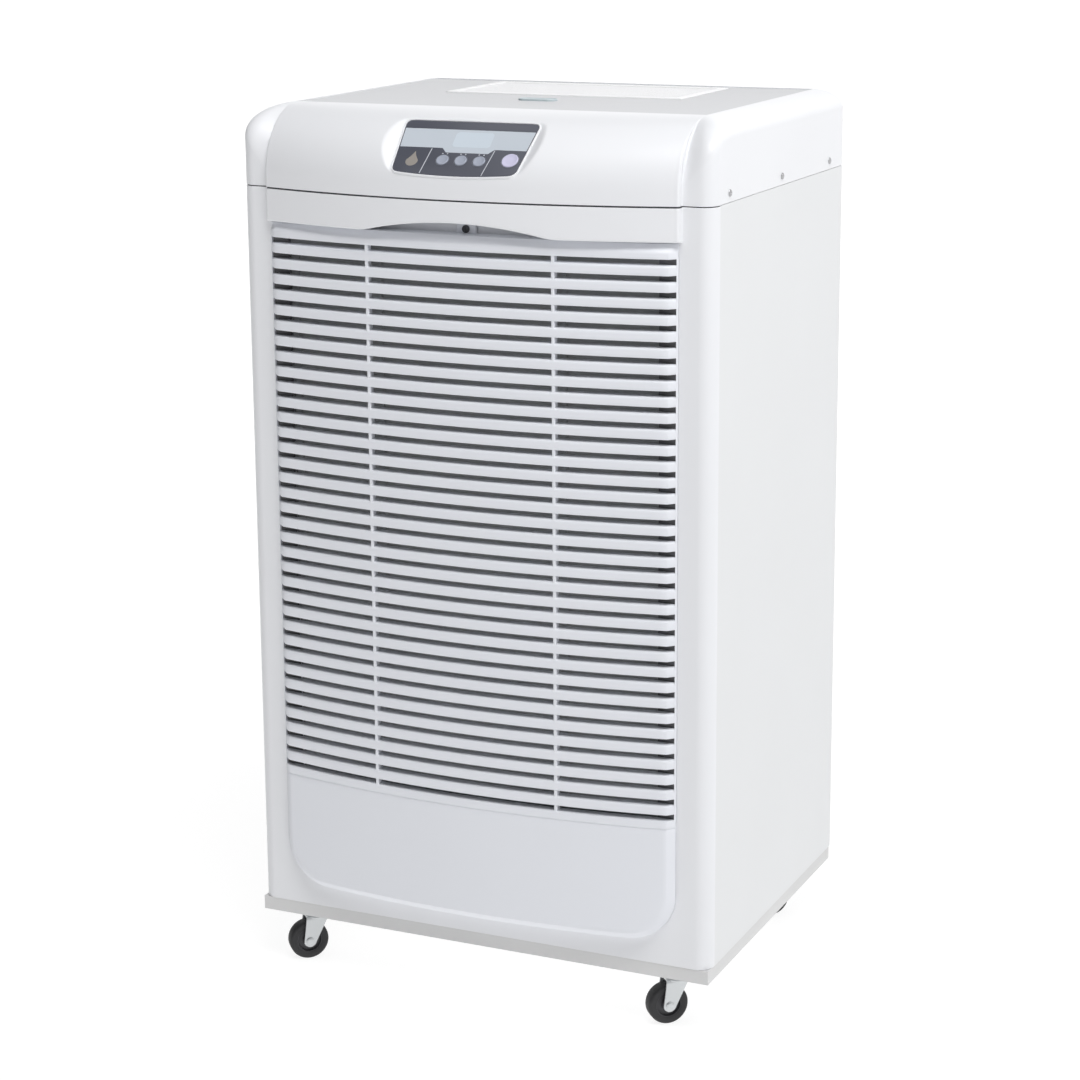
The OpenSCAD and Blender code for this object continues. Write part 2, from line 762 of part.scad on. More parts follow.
// finned block with end plates and the return bends of its tube
module coil(y) {
  mid = (y[0] + y[1]) / 2;
  union() {
    block([-coil_x, y[0], coil_z[0]], [coil_x, y[1], coil_z[1]]);
    for (s = [0, 1])
      block([s > 0 ? coil_x : -coil_x - 2, y[0] - 4, bulkhead_z + 4],
        [s > 0 ? coil_x + 2 : -coil_x, y[1] + 4, coil_z[1] + 4]);
    for (i = [0:coil_bends - 1])
      translate([coil_x + 2, mid, coil_tube_z0 + i * coil_tube_dz]) rotate([90, 0, 0])
        rotate([0, 0, -90]) rotate_extrude(angle = 180, $fn = 48)
          translate([bend_r, 0]) circle(coil_tube_r, $fn = 24);
  }
}
module evaporator() { color("silver") cabinet() coil(evap_y); }
module condenser() { color("silver") cabinet() coil(cond_y); }

module discharge_line() {
  color("peru") cabinet() pipe(run([[comp_at[0], comp_at[1], comp_z[1]], [comp_at[0], comp_at[1], 377],
    [comp_at[0], 168, 377], [255, 168, 377], [255, 168, 880], [coil_x + 2, 168, 880]], 9), 4.5);
}
module suction_line() {
  color("peru") cabinet() pipe(run([[coil_x + 2, 80, 440], [265, 80, 440], [265, 80, 354],
    [accum_at[0], 80, 354], [accum_at[0], accum_at[1], 354], [accum_at[0], accum_at[1], 310]], 14), 6);
}
module liquid_line() {
  color("peru") cabinet() union() {
    pipe(run([[coil_x + 2, 136, 440], [258, 136, 440], [258, 112, 440], [258, 112, 870],
      [258, 80, 870], [coil_x + 2, 80, 870]], 9), 3.5);
    rod_z([258, 112, 600], 12, 110);
  }
}

module drip_tray() {
  z0 = bulkhead_z + sheet;
  color("whitesmoke") cabinet() difference() {
    union() {
      difference() {
        block([-tray_x, tray_y[0], z0], [tray_x, tray_y[1], z0 + 22]);
        block([2 - tray_x, tray_y[0] + 2, z0 + 2], [tray_x - 2, tray_y[1] - 2, z0 + 30]);
      }
      rod_z([spigot_at[0], spigot_at[1], z0 - 16], hose_r, 17);
    }
    rod_z([spigot_at[0], spigot_at[1], z0 - 20], spout_bore, 30);
  }
}

module drain_hose() {
  color("lightgray") cabinet() pipe(run([[spigot_at[0], spigot_at[1], bulkhead_z + sheet - 16],
    [spigot_at[0], spigot_at[1], 150], [spout_x, 200, service_z], [spout_x, cab_d - 20, service_z]], 24, 5), 9);
}

module drain_spout() {
  color("gray") cabinet() difference() {
    union() {
      rod_y([spout_x, cab_d - 20, service_z], hose_r, 20 + spout_out);
      rod_y([spout_x, cab_d, service_z], 14, 3);
      rod_y([spout_x, cab_d - sheet - 5, service_z], 12, 5);
    }
    rod_y([spout_x, cab_d - 20 - eps, service_z], spout_bore, 22 + spout_out);
  }
}

// ---------- air path ----------

module bulkhead() {
  inner = half_w - sheet;
  color("lightgray") cabinet() difference() {
    block([-inner, frame_d + 2 * sheet, bulkhead_z], [inner, cab_d - 2 * sheet, bulkhead_z + sheet]);
    rod_z([spigot_at[0], spigot_at[1], bulkhead_z - eps], hose_r + 2, sheet + 2 * eps);
    rod_z([255, 168, bulkhead_z - eps], 7, sheet + 2 * eps);
    rod_z([265, 80, bulkhead_z - eps], 9, sheet + 2 * eps);
  }
}

module fan_plate() {
  inner = half_w - sheet;
  color("lightgray") cabinet() difference() {
    union() {
      block([-inner, fan_plate_y, bulkhead_z + sheet], [inner, fan_plate_y + sheet, seam_z - sheet]);
      rod_y([fan_at[0], fan_plate_y, fan_at[1]], eye_r + 3, volute_y[0] - fan_plate_y);
    }
    rod_y([fan_at[0], fan_plate_y - eps, fan_at[1]], eye_r, volute_y[0] - fan_plate_y + 2 * eps);
  }
}

// spiral casing with a flared duct up to the outlet
module scroll_outline(inset, top) {
  n = 30;
  tongue = 40;
  r_end = scroll_r0 + scroll_growth;
  polygon([for (i = [0:n]) let (a = tongue + (360 - tongue) * i / n,
    r = scroll_r0 + scroll_growth * (a - tongue) / (360 - tongue) - inset)
    [fan_at[0] + r * cos(a), fan_at[1] + r * sin(a)]]);
  polygon([[fan_at[0] + 50, fan_at[1]], [fan_at[0] + r_end - inset, fan_at[1]],
    [fan_at[0] + r_end - inset, fan_at[1] + 120], [duct_half - inset, duct_z0], [duct_half - inset, top],
    [inset - duct_half, top], [inset - duct_half, duct_z0], [fan_at[0] + 80 + inset, fan_at[1] + 150],
    [fan_at[0] + 80 + inset, fan_at[1] + 60]]);
}

module fan_volute() {
  color("gainsboro") cabinet() difference() {
    union() {
      translate([0, volute_y[1], 0]) rotate([90, 0, 0])
        linear_extrude(volute_y[1] - volute_y[0]) scroll_outline(0, duct_z0 + eps);
      for (x = [-190, -40])
        block([x, volute_y[0], bulkhead_z + sheet], [x + 4, volute_y[1], 570]);
    }
    translate([0, volute_y[1] - sheet, 0]) rotate([90, 0, 0])
      linear_extrude(volute_y[1] - volute_y[0] - 2 * sheet) scroll_outline(sheet, duct_z0 + 10);
    rod_y([fan_at[0], volute_y[0] - eps, fan_at[1]], eye_r, sheet + 2 * eps);
    rod_y([fan_at[0], volute_y[1] - sheet - eps, fan_at[1]], motor_r + 2, sheet + 2 * eps);
  }
  // straight discharge duct, a separate piece that stands on the scroll's mouth
  color("gainsboro") cabinet() difference() {
    block([-duct_half, volute_y[0], duct_z0 + eps + notch_gap], [duct_half, volute_y[1], duct_top]);
    block([sheet - duct_half, volute_y[0] + sheet, duct_z0],
      [duct_half - sheet, volute_y[1] - sheet, duct_top + eps]);
  }
}

module impeller() {
  y0 = volute_y[0] + 12;
  y1 = volute_y[1] - 14;
  plate_y = 365;
  inner_r = fan_r - 22;
  color("dimgray") cabinet() translate([fan_at[0], 0, fan_at[1]]) difference() {
    union() {
      rod_y([0, plate_y, 0], fan_r - 1, 3);
      rod_y([0, plate_y - 22, 0], 13, 23);
      for (y = [y0, y1 - 4]) difference() {
        rod_y([0, y, 0], fan_r, 4);
        rod_y([0, y - eps, 0], inner_r, 4 + 2 * eps);
      }
      for (i = [0:fan_blades - 1])
        rotate([0, i * 360 / fan_blades, 0]) translate([inner_r + 2, y0 + 2, 0])
          rotate([0, 28, 0]) cube([20, y1 - y0 - 4, 1.4]);
    }
    rod_y([0, plate_y - 30, 0], shaft_r, 60);
  }
}

module motor_shaft() {
  color("silver") cabinet() rod_y([fan_at[0], 340, fan_at[1]], shaft_r, 96);
}

module fan_motor() {
  color("gray") cabinet() difference() {
    union() {
      rod_y([fan_at[0], 384, fan_at[1]], motor_r, 56);
      rod_y([fan_at[0], volute_y[1], fan_at[1]], motor_r + 20, 3);
      rod_y([fan_at[0], 378, fan_at[1]], 16, 6.5);
    }
    rod_y([fan_at[0], 370, fan_at[1]], shaft_r + slack, 66.5);
  }
}

// ---------- electrics ----------

module electrical_box() {
  t = 2;
  color("lightgray") cabinet() union() {
    difference() {
      block(ebox_lo, ebox_hi);
      block(ebox_lo + [t, -eps, t], ebox_hi - [t, t, t]);
      translate([ebox_lo[0] + 30, ebox_hi[1] - 10, ebox_lo[2] + 30]) rotate([-90, 0, 0])
        cylinder(r = 10, h = 20);
    }
    block([ebox_hi[0], 60, 200], [half_w - sheet, 62, 300]);
  }
}
module electrical_cover() {
  color("whitesmoke") cabinet() block([ebox_lo[0] - 2, ebox_lo[1] - 2, ebox_lo[2] - 2],
    [ebox_hi[0] + 2, ebox_lo[1], ebox_hi[2] + 2]);
}
module main_board() {
  color("darkgreen") cabinet() union() {
    block([110, 136, 170], [230, 137.6, 320]);
    for (x = [120, 220], z = [180, 310])
      rod_y([x, 137, z], 3, ebox_hi[1] - 2 - 137);
    block([125, 110, 270], [165, 136.5, 305]);
    for (z = [190, 215, 240])
      block([185, 116, z], [215, 136.5, z + 18]);
  }
}
module capacitor() {
  color("silver") cabinet() rod_z([205, 78, ebox_lo[2] + 2], 20, 90);
}
module humidity_sensor() {
  color("white") cabinet() block([-190, evap_y[0] - 8, 700], [-160, evap_y[0], 725]);
}

module cable_gland() {
  color("black") cabinet() difference() {
    union() {
      rod_y([gland_x, cab_d - 12, service_z], hose_r, 18);
      translate([gland_x, cab_d, service_z]) rotate([-90, 0, 0]) cylinder(r = 13, h = 6, $fn = 6);
      rod_y([gland_x, cab_d + 6, service_z], 10, spout_out - 8);
      translate([gland_x, cab_d - sheet - 5, service_z]) rotate([-90, 0, 0])
        cylinder(r = 13, h = 5, $fn = 6);
    }
    rod_y([gland_x, cab_d - 15, service_z], gland_bore, 60);
  }
}

// ---------- drawing ----------

base_pan();
front_frame();
intake_panel();
air_filter();
panel_latch();
left_side_panel();
right_side_panel();
rear_panel();
top_cover();
outlet_grille();
badge();
control_bezel();
control_overlay();
display_window();
control_board();
button_left();
button_middle();
button_right();
power_button();
cover_screws();
rear_screws();
frame_screws();
caster_plates();
caster_bolts();
caster_fork_fl();
caster_fork_fr();
caster_fork_rl();
caster_fork_rr();
caster_axle_fl();
caster_axle_fr();
caster_axle_rl();
caster_axle_rr();
caster_wheel_fl();
caster_wheel_fr();
caster_wheel_rl();
caster_wheel_rr();
compressor();
accumulator();
compressor_mounts();
compressor_bolts();
evaporator();
condenser();
drip_tray();
drain_hose();
drain_spout();
bulkhead();
fan_plate();
fan_volute();
impeller();
fan_motor();
motor_shaft();
discharge_line();
suction_line();
liquid_line();
electrical_box();
electrical_cover();
main_board();
capacitor();
humidity_sensor();
cable_gland();
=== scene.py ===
"""Commercial dehumidifier on four casters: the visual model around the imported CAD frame."""
import json
import math

import bmesh
import bpy
from mathutils import Matrix, Vector


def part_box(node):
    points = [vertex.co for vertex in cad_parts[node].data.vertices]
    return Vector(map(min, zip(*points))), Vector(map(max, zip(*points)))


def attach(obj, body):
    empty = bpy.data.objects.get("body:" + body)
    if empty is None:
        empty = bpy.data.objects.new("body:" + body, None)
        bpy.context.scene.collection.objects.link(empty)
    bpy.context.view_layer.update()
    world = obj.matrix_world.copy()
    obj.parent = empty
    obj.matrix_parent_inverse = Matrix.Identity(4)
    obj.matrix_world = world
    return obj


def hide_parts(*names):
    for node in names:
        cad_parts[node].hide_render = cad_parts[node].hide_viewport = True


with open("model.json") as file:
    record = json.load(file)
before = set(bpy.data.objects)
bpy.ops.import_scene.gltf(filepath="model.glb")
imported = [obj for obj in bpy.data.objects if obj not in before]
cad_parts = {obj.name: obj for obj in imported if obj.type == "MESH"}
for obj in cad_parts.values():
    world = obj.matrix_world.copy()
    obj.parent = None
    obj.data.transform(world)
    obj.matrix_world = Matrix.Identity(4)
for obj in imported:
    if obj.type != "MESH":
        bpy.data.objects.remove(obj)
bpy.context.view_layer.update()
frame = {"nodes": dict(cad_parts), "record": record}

MM = 0.001
NODES = frame["nodes"]
FINISHES = {}

# Depth of the front frame. Lengths are in millimetres, apart from the camera's, lamps' and floor's.
FRAME_D = 20.0
# Distance from the part's origin forward to the corner posts' front face, in metres.
DEPTH_MID = -(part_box("front_frame")[1].y - FRAME_D * MM)


# ---------------------------------------------------------------- camera, light and floor

LENS_MM, SENSOR_MM, CAMERA_SHIFT = 88.47, 36, -0.070
# Camera place: x, depth from the corner posts' front face, height, in metres.
CAMERA_AT = (1.3258, -2.7213, 1.3562)
AZIMUTH, PITCH, ROLL = 24.461, 12.761, -0.404


def look(azimuth, pitch, roll):
    """Camera matrix for a view along azimuth, pitched down and rolled, all in degrees."""
    az, pt, rl = (math.radians(v) for v in (azimuth, pitch, roll))
    right = Vector((math.cos(az), math.sin(az), 0))
    forward = Vector((-math.sin(az) * math.cos(pt), math.cos(az) * math.cos(pt), -math.sin(pt)))
    up = right.cross(forward)
    right_r = right * math.cos(rl) + up * math.sin(rl)
    up_r = up * math.cos(rl) - right * math.sin(rl)
    return Matrix((right_r, up_r, -forward)).transposed().to_4x4()


def add_camera():
    """The camera, and the plain view transform that keeps white as white."""
    data = bpy.data.cameras.new("camera")
    data.lens = LENS_MM
    data.sensor_width = SENSOR_MM
    data.shift_y = CAMERA_SHIFT
    data.clip_start = 0.05
    camera = bpy.data.objects.new("camera", data)
    bpy.context.collection.objects.link(camera)
    x, depth, z = CAMERA_AT
    place = Vector((x, depth - DEPTH_MID, z))
    camera.matrix_world = Matrix.Translation(place) @ look(AZIMUTH, PITCH, ROLL)
    bpy.context.scene.camera = camera
    bpy.context.scene.view_settings.view_transform = "Standard"


def add_area(name, place, target, size, power):
    """A rectangular studio lamp at place, turned to target."""
    data = bpy.data.lights.new(name, "AREA")
    data.shape = "RECTANGLE"
    data.size, data.size_y = size
    data.energy = power
    lamp = bpy.data.objects.new(name, data)
    bpy.context.collection.objects.link(lamp)
    lamp.location = place
    aim = Vector(target) - Vector(place)
    lamp.rotation_euler = aim.to_track_quat("-Z", "Y").to_euler()


SKY_COLOUR = (0.97, 0.98, 1.0, 1)
SKY_LEFT, SKY_RIGHT = 0.0, 0.36
KEY_POWER, FILL_POWER, TOP_POWER = 13.5, 94, 42
# The floor paper's own light, from the part of it near the object to the part behind.
FLOOR_GLOW, BACKDROP_GLOW = 0.86, 1.0
GLOW_FROM_Y, GLOW_TO_Y = 0.4, 2.6
PAPER_GREY = 0.22
# The paper's half width, front edge, rear edge, height and bend radius, in metres.
PAPER_HALF, PAPER_FRONT, PAPER_REAR, PAPER_TOP, PAPER_BEND = 14.0, -12.0, 9.0, 7.0, 2.5
BEND_STEPS = 12


def add_sky():
    """Soft sky light that grows from the left to the right."""
    world = bpy.data.worlds.new("studio")
    bpy.context.scene.world = world
    world.use_nodes = True
    tree = world.node_tree
    sky = tree.nodes["Background"]
    sky.inputs["Color"].default_value = SKY_COLOUR
    where = tree.nodes.new("ShaderNodeTexCoord")
    axes = tree.nodes.new("ShaderNodeSeparateXYZ")
    fade = tree.nodes.new("ShaderNodeMapRange")
    fade.inputs["From Min"].default_value = -1
    fade.inputs["To Min"].default_value, fade.inputs["To Max"].default_value = SKY_LEFT, SKY_RIGHT
    link(tree, where, "Generated", axes, "Vector")
    link(tree, axes, "X", fade, "Value")
    link(tree, fade, "Result", sky, "Strength")


def add_lamps():
    add_area("key", (3.4, -0.6, 1.7), (0, 0, 0.55), (2.4, 2.8), KEY_POWER)
    add_area("fill", (1.3, -1.6, 4.2), (0, -0.2, 0.9), (2.0, 2.0), FILL_POWER)
    add_area("top", (0.3, 0.2, 4.2), (0, 0.2, 0), (5.0, 5.0), TOP_POWER)


def add_floor():
    """Pale paper that runs level under the object and bends up behind it."""
    bm = bmesh.new()
    bend_y = PAPER_REAR - PAPER_BEND
    rows = [(PAPER_FRONT, 0.0), (bend_y, 0.0)]
    for i in range(1, BEND_STEPS + 1):
        a = math.radians(90 * i / BEND_STEPS)
        rows.append((bend_y + PAPER_BEND * math.sin(a), PAPER_BEND - PAPER_BEND * math.cos(a)))
    rows.append((PAPER_REAR, PAPER_TOP))
    strips = [[bm.verts.new((x, y, z)) for x in (-PAPER_HALF, PAPER_HALF)] for y, z in rows]
    for a, b in zip(strips, strips[1:]):
        bm.faces.new((a[0], a[1], b[1], b[0]))
    mesh = bpy.data.meshes.new("floor")
    bm.to_mesh(mesh)
    bm.free()
    for face in mesh.polygons:
        face.use_smooth = True
    floor = bpy.data.objects.new("floor", mesh)
    bpy.context.collection.objects.link(floor)
    paper = plain("floor_paper", (PAPER_GREY, PAPER_GREY, PAPER_GREY), 0.9, 0.0, 900, 0.02)
    glow = paper.node_tree.nodes["Principled BSDF"]
    glow.inputs["Emission Color"].default_value = (1, 1, 1, 1)
    tree = paper.node_tree
    where = tree.nodes.new("ShaderNodeTexCoord")
    axes = tree.nodes.new("ShaderNodeSeparateXYZ")
    rise_of_glow = tree.nodes.new("ShaderNodeMapRange")
    rise_of_glow.inputs["From Min"].default_value = GLOW_FROM_Y
    rise_of_glow.inputs["From Max"].default_value = GLOW_TO_Y
    rise_of_glow.inputs["To Min"].default_value = FLOOR_GLOW
    rise_of_glow.inputs["To Max"].default_value = BACKDROP_GLOW
    link(tree, where, "Object", axes, "Vector")
    link(tree, axes, "Y", rise_of_glow, "Value")
    link(tree, rise_of_glow, "Result", glow, "Emission Strength")
    mesh.materials.append(paper)


# ---------------------------------------------------------------- materials

def link(tree, source, output, target, socket):
    tree.links.new(source.outputs[output], target.inputs[socket])


def plain(name, colour, rough, spread, scale, bump, metallic=0.0, rough_spread=0.05, coat=0.0,
          stretch=(1, 1, 1)):
    """A surface of one finish: fine grain at scale, slow cloudy variation of spread, small bump."""
    mat = bpy.data.materials.new(name)
    FINISHES[name] = mat
    mat["finish"] = name
    mat.use_nodes = True
    tree = mat.node_tree
    shader = tree.nodes["Principled BSDF"]
    shader.inputs["Metallic"].default_value = metallic
    shader.inputs["Coat Weight"].default_value = coat
    where = tree.nodes.new("ShaderNodeTexCoord")
    mapping = tree.nodes.new("ShaderNodeMapping")
    mapping.inputs["Scale"].default_value = stretch
    link(tree, where, "Object", mapping, "Vector")
    grain = tree.nodes.new("ShaderNodeTexNoise")
    grain.inputs["Scale"].default_value = scale
    grain.inputs["Detail"].default_value = 3
    link(tree, mapping, "Vector", grain, "Vector")
    cloud = tree.nodes.new("ShaderNodeTexNoise")
    cloud.inputs["Scale"].default_value = 6
    cloud.inputs["Detail"].default_value = 2
    link(tree, where, "Object", cloud, "Vector")
    shade = tree.nodes.new("ShaderNodeValToRGB")
    shade.color_ramp.elements[0].position = 0.3
    shade.color_ramp.elements[1].position = 0.7
    shade.color_ramp.elements[0].color = tuple(c * (1 - spread) for c in colour) + (1,)
    shade.color_ramp.elements[1].color = tuple(min(1, c * (1 + spread)) for c in colour) + (1,)
    link(tree, cloud, "Fac", shade, "Fac")
    link(tree, shade, "Color", shader, "Base Color")
    gloss = tree.nodes.new("ShaderNodeMapRange")
    gloss.inputs["To Min"].default_value = max(0.02, rough - rough_spread)
    gloss.inputs["To Max"].default_value = min(1.0, rough + rough_spread)
    link(tree, grain, "Fac", gloss, "Value")
    link(tree, gloss, "Result", shader, "Roughness")
    relief = tree.nodes.new("ShaderNodeBump")
    relief.inputs["Strength"].default_value = bump
    relief.inputs["Distance"].default_value = 0.2 * MM
    link(tree, grain, "Fac", relief, "Height")
    link(tree, relief, "Normal", shader, "Normal")
    return mat


def dress(mat, name):
    """Gives the CAD node of that name one material."""
    node = NODES[name]
    node.data.materials.clear()
    node.data.materials.append(mat)


# Each finish: name, colour, roughness, colour spread, grain scale, bump and any extra.
# Those with no name of their own here dress CAD nodes, which find them in FINISHES.
WHITE = plain("white_moulding", (0.862, 0.870, 0.895), 0.34, 0.006, 1400, 0.12)
# The flat top is the same moulding as the cover, made greyer as painted shade for the weaker light it gets.
TOP_SHADED_GREY = plain("top_painted_shade", (0.63, 0.635, 0.655), 0.42, 0.01, 1200, 0.12)
# A whiter copy of the white moulding for the outlet: painted light, lifting the grille out of the shade
# between its vanes.
OUTLET_PAINTED_LIGHT = plain("outlet_painted_light", (0.94, 0.94, 0.95), 0.40, 0.006, 1400, 0.10)
PANEL = plain("panel_moulding", (0.832, 0.849, 0.895), 0.40, 0.006, 1400, 0.14)
plain("painted_side", (0.80, 0.81, 0.82), 0.45, 0.006, 700, 0.20)
plain("galvanised_steel", (0.70, 0.70, 0.70), 0.45, 0.03, 120, 0.08, metallic=0.1)
plain("bright_zinc", (0.75, 0.76, 0.77), 0.26, 0.04, 300, 0.08, metallic=1.0)
RUBBER = plain("black_rubber", (0.025, 0.025, 0.027), 0.62, 0.10, 500, 0.35)
plain("filter_mesh", (0.34, 0.345, 0.35), 0.8, 0.05, 900, 0.4)
DARK = plain("dark_plastic", (0.05, 0.05, 0.055), 0.5, 0.05, 900, 0.2)
# Near-black strips behind the slats' ends: painted shade, darkening the slot ends where the side walls are
# in shade.
SHADE_STRIP = plain("painted_shade_strip", (0.13, 0.13, 0.135), 0.8, 0.05, 700, 0.4)
BADGE_RIM = plain("badge_rim", (0.58, 0.66, 0.69), 0.3, 0.03, 700, 0.03, metallic=0.2)
SMOKE = plain("smoked_overlay", (0.095, 0.10, 0.125), 0.24, 0.03, 1200, 0.04)
WINDOW = plain("display_window", (0.55, 0.60, 0.66), 0.18, 0.02, 900, 0.02)
KEYS = plain("button_grey", (0.37, 0.40, 0.48), 0.35, 0.04, 900, 0.08)
LILAC = plain("button_lilac", (0.62, 0.60, 0.78), 0.30, 0.03, 900, 0.08)
INLAY = plain("badge_inlay", (0.42, 0.52, 0.56), 0.30, 0.04, 900, 0.05)
SCREEN = plain("screen", (0.60, 0.67, 0.74), 0.15, 0.02, 900, 0.01)
PRINT = plain("pale_print", (0.55, 0.57, 0.62), 0.4, 0.02, 900, 0.02)
EMBLEM = plain("emblem_print", (0.30, 0.275, 0.25), 0.35, 0.05, 700, 0.03)
BEZEL_RING = plain("key_surround", (0.13, 0.14, 0.17), 0.35, 0.03, 900, 0.05)
SCREW = plain("screw_zinc", (0.45, 0.45, 0.46), 0.35, 0.05, 500, 0.05, metallic=0.6)
CASTER = plain("caster_zinc", (0.66, 0.68, 0.69), 0.35, 0.05, 160, 0.10, metallic=0.55)
BOARD = plain("circuit_board", (0.03, 0.16, 0.07), 0.45, 0.10, 300, 0.15)
plain("coil_fins", (0.72, 0.74, 0.76), 0.35, 0.04, 420, 0.9, metallic=0.9, stretch=(1, 1, 0.01))
plain("copper_tube", (0.72, 0.33, 0.17), 0.30, 0.12, 60, 0.06, metallic=1.0)
plain("hose_grey", (0.45, 0.46, 0.47), 0.5, 0.03, 300, 0.1)
plain("black_enamel", (0.02, 0.02, 0.022), 0.28, 0.08, 500, 0.15)
plain("motor_housing", (0.50, 0.51, 0.53), 0.38, 0.05, 400, 0.1, metallic=0.7)
plain("capacitor_can", (0.62, 0.63, 0.65), 0.35, 0.04, 500, 0.05, metallic=0.8)


# ---------------------------------------------------------------- mesh helpers

def cab(x, d, z):
    """A point given in millimetres, with d as depth behind the corner posts, in the part's frame."""
    return Vector((x * MM, d * MM - DEPTH_MID, z * MM))


def steps(a, b, n):
    """n + 1 even values from a to b."""
    return [a + (b - a) * i / n for i in range(n + 1)]


MIDDLE = cab(0, 225, 600)


def bake(obj, crease=32):
    """Applies the modifiers of obj, then shades it smooth apart from creases, in degrees."""
    graph = bpy.context.evaluated_depsgraph_get()
    mesh = bpy.data.meshes.new_from_object(obj.evaluated_get(graph))
    obj.modifiers.clear()
    old = obj.data
    obj.data = mesh
    bpy.data.meshes.remove(old)
    mesh.name = obj.name
    mesh.shade_smooth()
    mesh.set_sharp_from_angle(angle=math.radians(crease))
    return obj


def piece(name, bm, mats, body, nodes=(), crease=32, solid=0.0, bevel=0.0, segments=3,
          bevel_angle=40, direct=False, inside=MIDDLE):
    """A finished object from bm, riding on body and standing for the CAD nodes.

    A skin with a solid wall grows its wall towards the point inside."""
    bmesh.ops.remove_doubles(bm, verts=bm.verts, dist=0.002 * MM)
    if not direct:
        bmesh.ops.recalc_face_normals(bm, faces=bm.faces)
    bm.normal_update()
    if solid and not direct:
        facing = sum(f.normal.dot(f.calc_center_median() - inside) * f.calc_area() for f in bm.faces)
        if facing < 0:
            bmesh.ops.reverse_faces(bm, faces=bm.faces)
    mesh = bpy.data.meshes.new(name)
    bm.to_mesh(mesh)
    bm.free()
    for mat in mats:
        mesh.materials.append(mat)
    obj = bpy.data.objects.new(name, mesh)
    bpy.context.collection.objects.link(obj)
    if solid:
        shell = obj.modifiers.new("wall", "SOLIDIFY")
        shell.thickness = solid
        shell.offset = -1
    if bevel:
        edge = obj.modifiers.new("edge", "BEVEL")
        edge.width = bevel
        edge.segments = segments
        edge.limit_method = "ANGLE"
        edge.angle_limit = math.radians(bevel_angle)
    bake(obj, crease)
    if nodes:
        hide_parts(*nodes)
    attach(obj, body)
    return obj


def net(bm, rows, keep=None, material=None):
    """Quads between neighbouring rows of points. keep(i, j) says which cells are filled."""
    verts = [[bm.verts.new(p) for p in row] for row in rows]
    for i in range(len(rows) - 1):
        for j in range(len(rows[0]) - 1):
            if keep and not keep(i, j):
                continue
            quad = []
            for v in (verts[i][j], verts[i][j + 1], verts[i + 1][j + 1], verts[i + 1][j]):
                if not quad or (v.co - quad[-1].co).length > 1e-7:
                    quad.append(v)
            if len(quad) > 2 and (quad[0].co - quad[-1].co).length < 1e-7:
                quad.pop()
            if len(quad) < 3:
                continue
            face = bm.faces.new(quad)
            if material:
                face.material_index = material(i, j)
    return verts


# ---------------------------------------------------------------- the bowed front's outline

CAB_HALF, CAB_BACK, CAB_TOP = 300.0, 450.0, 1080.0
SEAM_Z, BOW_HALF, POST_R = 986.0, 262.0, 18.0
# Where the even samples along the bow end, short of its rounded step.
BOW_LAST = 256
BROW_EDGE, BROW_MID = 8.0, 46.0
BROW_Z0, BROW_BACK = 1000.0, 75.0
SHOULDER_X, SHOULDER_Z = 262.0, 1058.0
STEP_R, STEP_FOOT = 4.0, 2.5


def proud(x, half=BOW_HALF, edge=BROW_EDGE, mid=BROW_MID):
    """How far the bowed front stands out at x."""
    rise = mid - edge
    r = (half * half + rise * rise) / (2 * rise)
    return mid - r + math.sqrt(r * r - x * x)


def half_outline(xs):
    """Plan of the right half of the front, (x, d) from the middle to the side, with its corner."""
    points = [(x, -proud(x)) for x in xs if x < BOW_HALF - STEP_R]
    start = -proud(BOW_HALF - STEP_R)
    for t in steps(0, 90, 6):
        a = math.radians(t)
        points.append((BOW_HALF - STEP_R + STEP_R * math.sin(a), start + STEP_R - STEP_R * math.cos(a)))
    for t in steps(0, 90, 5):
        a = math.radians(t)
        points.append((BOW_HALF + STEP_FOOT - STEP_FOOT * math.cos(a), -STEP_FOOT + STEP_FOOT * math.sin(a)))
    points += [(x, 0.0) for x in (268, 273, 278)]
    for t in steps(0, 90, 10):
        a = math.radians(t)
        points.append((CAB_HALF - POST_R + POST_R * math.sin(a), POST_R - POST_R * math.cos(a)))
    return points


def mirrored(points):
    """The whole outline, left to right, from its right half, whose first point is on the middle."""
    return [(-p[0],) + tuple(p[1:]) for p in reversed(points[1:])] + list(points)


# ---------------------------------------------------------------- control recess

TILT = math.radians(42)
CTL_D, CTL_Z = -11.0, CAB_TOP - 38.0
CTL_TOP, CTL_LOW, CTL_H, CTL_BELLY, CTL_ROUND = 84.5, 77.5, 39.0, 5.0, 7.0
SCOOP_MARGIN, SCOOP_SLOPE, SCOOP_BLEND = 2.5, 0.62, 2.2
SCOOP_REACH = (125, 75)


def to_control(x, d, z):
    """(u, v, w) in the control panel's own plane: right, up the slope, and out of it."""
    dd, dz = d - CTL_D, z - CTL_Z
    return x, dd * math.cos(TILT) + dz * math.sin(TILT), dz * math.cos(TILT) - dd * math.sin(TILT)


def from_control(u, v, w):
    return cab(u, CTL_D + v * math.cos(TILT) - w * math.sin(TILT),
               CTL_Z + v * math.sin(TILT) + w * math.cos(TILT))


def control_distance(u, v, grow=0.0):
    """Distance outside the dark panel's rounded outline, negative inside."""
    share = min(1.3, max(-0.3, (v + CTL_H) / (2 * CTL_H)))
    side = abs(u) - (CTL_LOW + (CTL_TOP - CTL_LOW) * share)
    belly = CTL_BELLY * max(0.0, 1 - (u / CTL_LOW) ** 2)
    ends = max(v - CTL_H, -CTL_H - belly - v)
    a, b = side - grow + CTL_ROUND, ends - grow + CTL_ROUND
    return math.hypot(max(a, 0), max(b, 0)) + min(max(a, b), 0) - CTL_ROUND


def soft_min(a, b, k):
    h = max(0.0, min(1.0, 0.5 + 0.5 * (b - a) / k))
    return b + (a - b) * h - k * h * (1 - h)


def soft_max(a, b, k):
    return -soft_min(-a, -b, k)


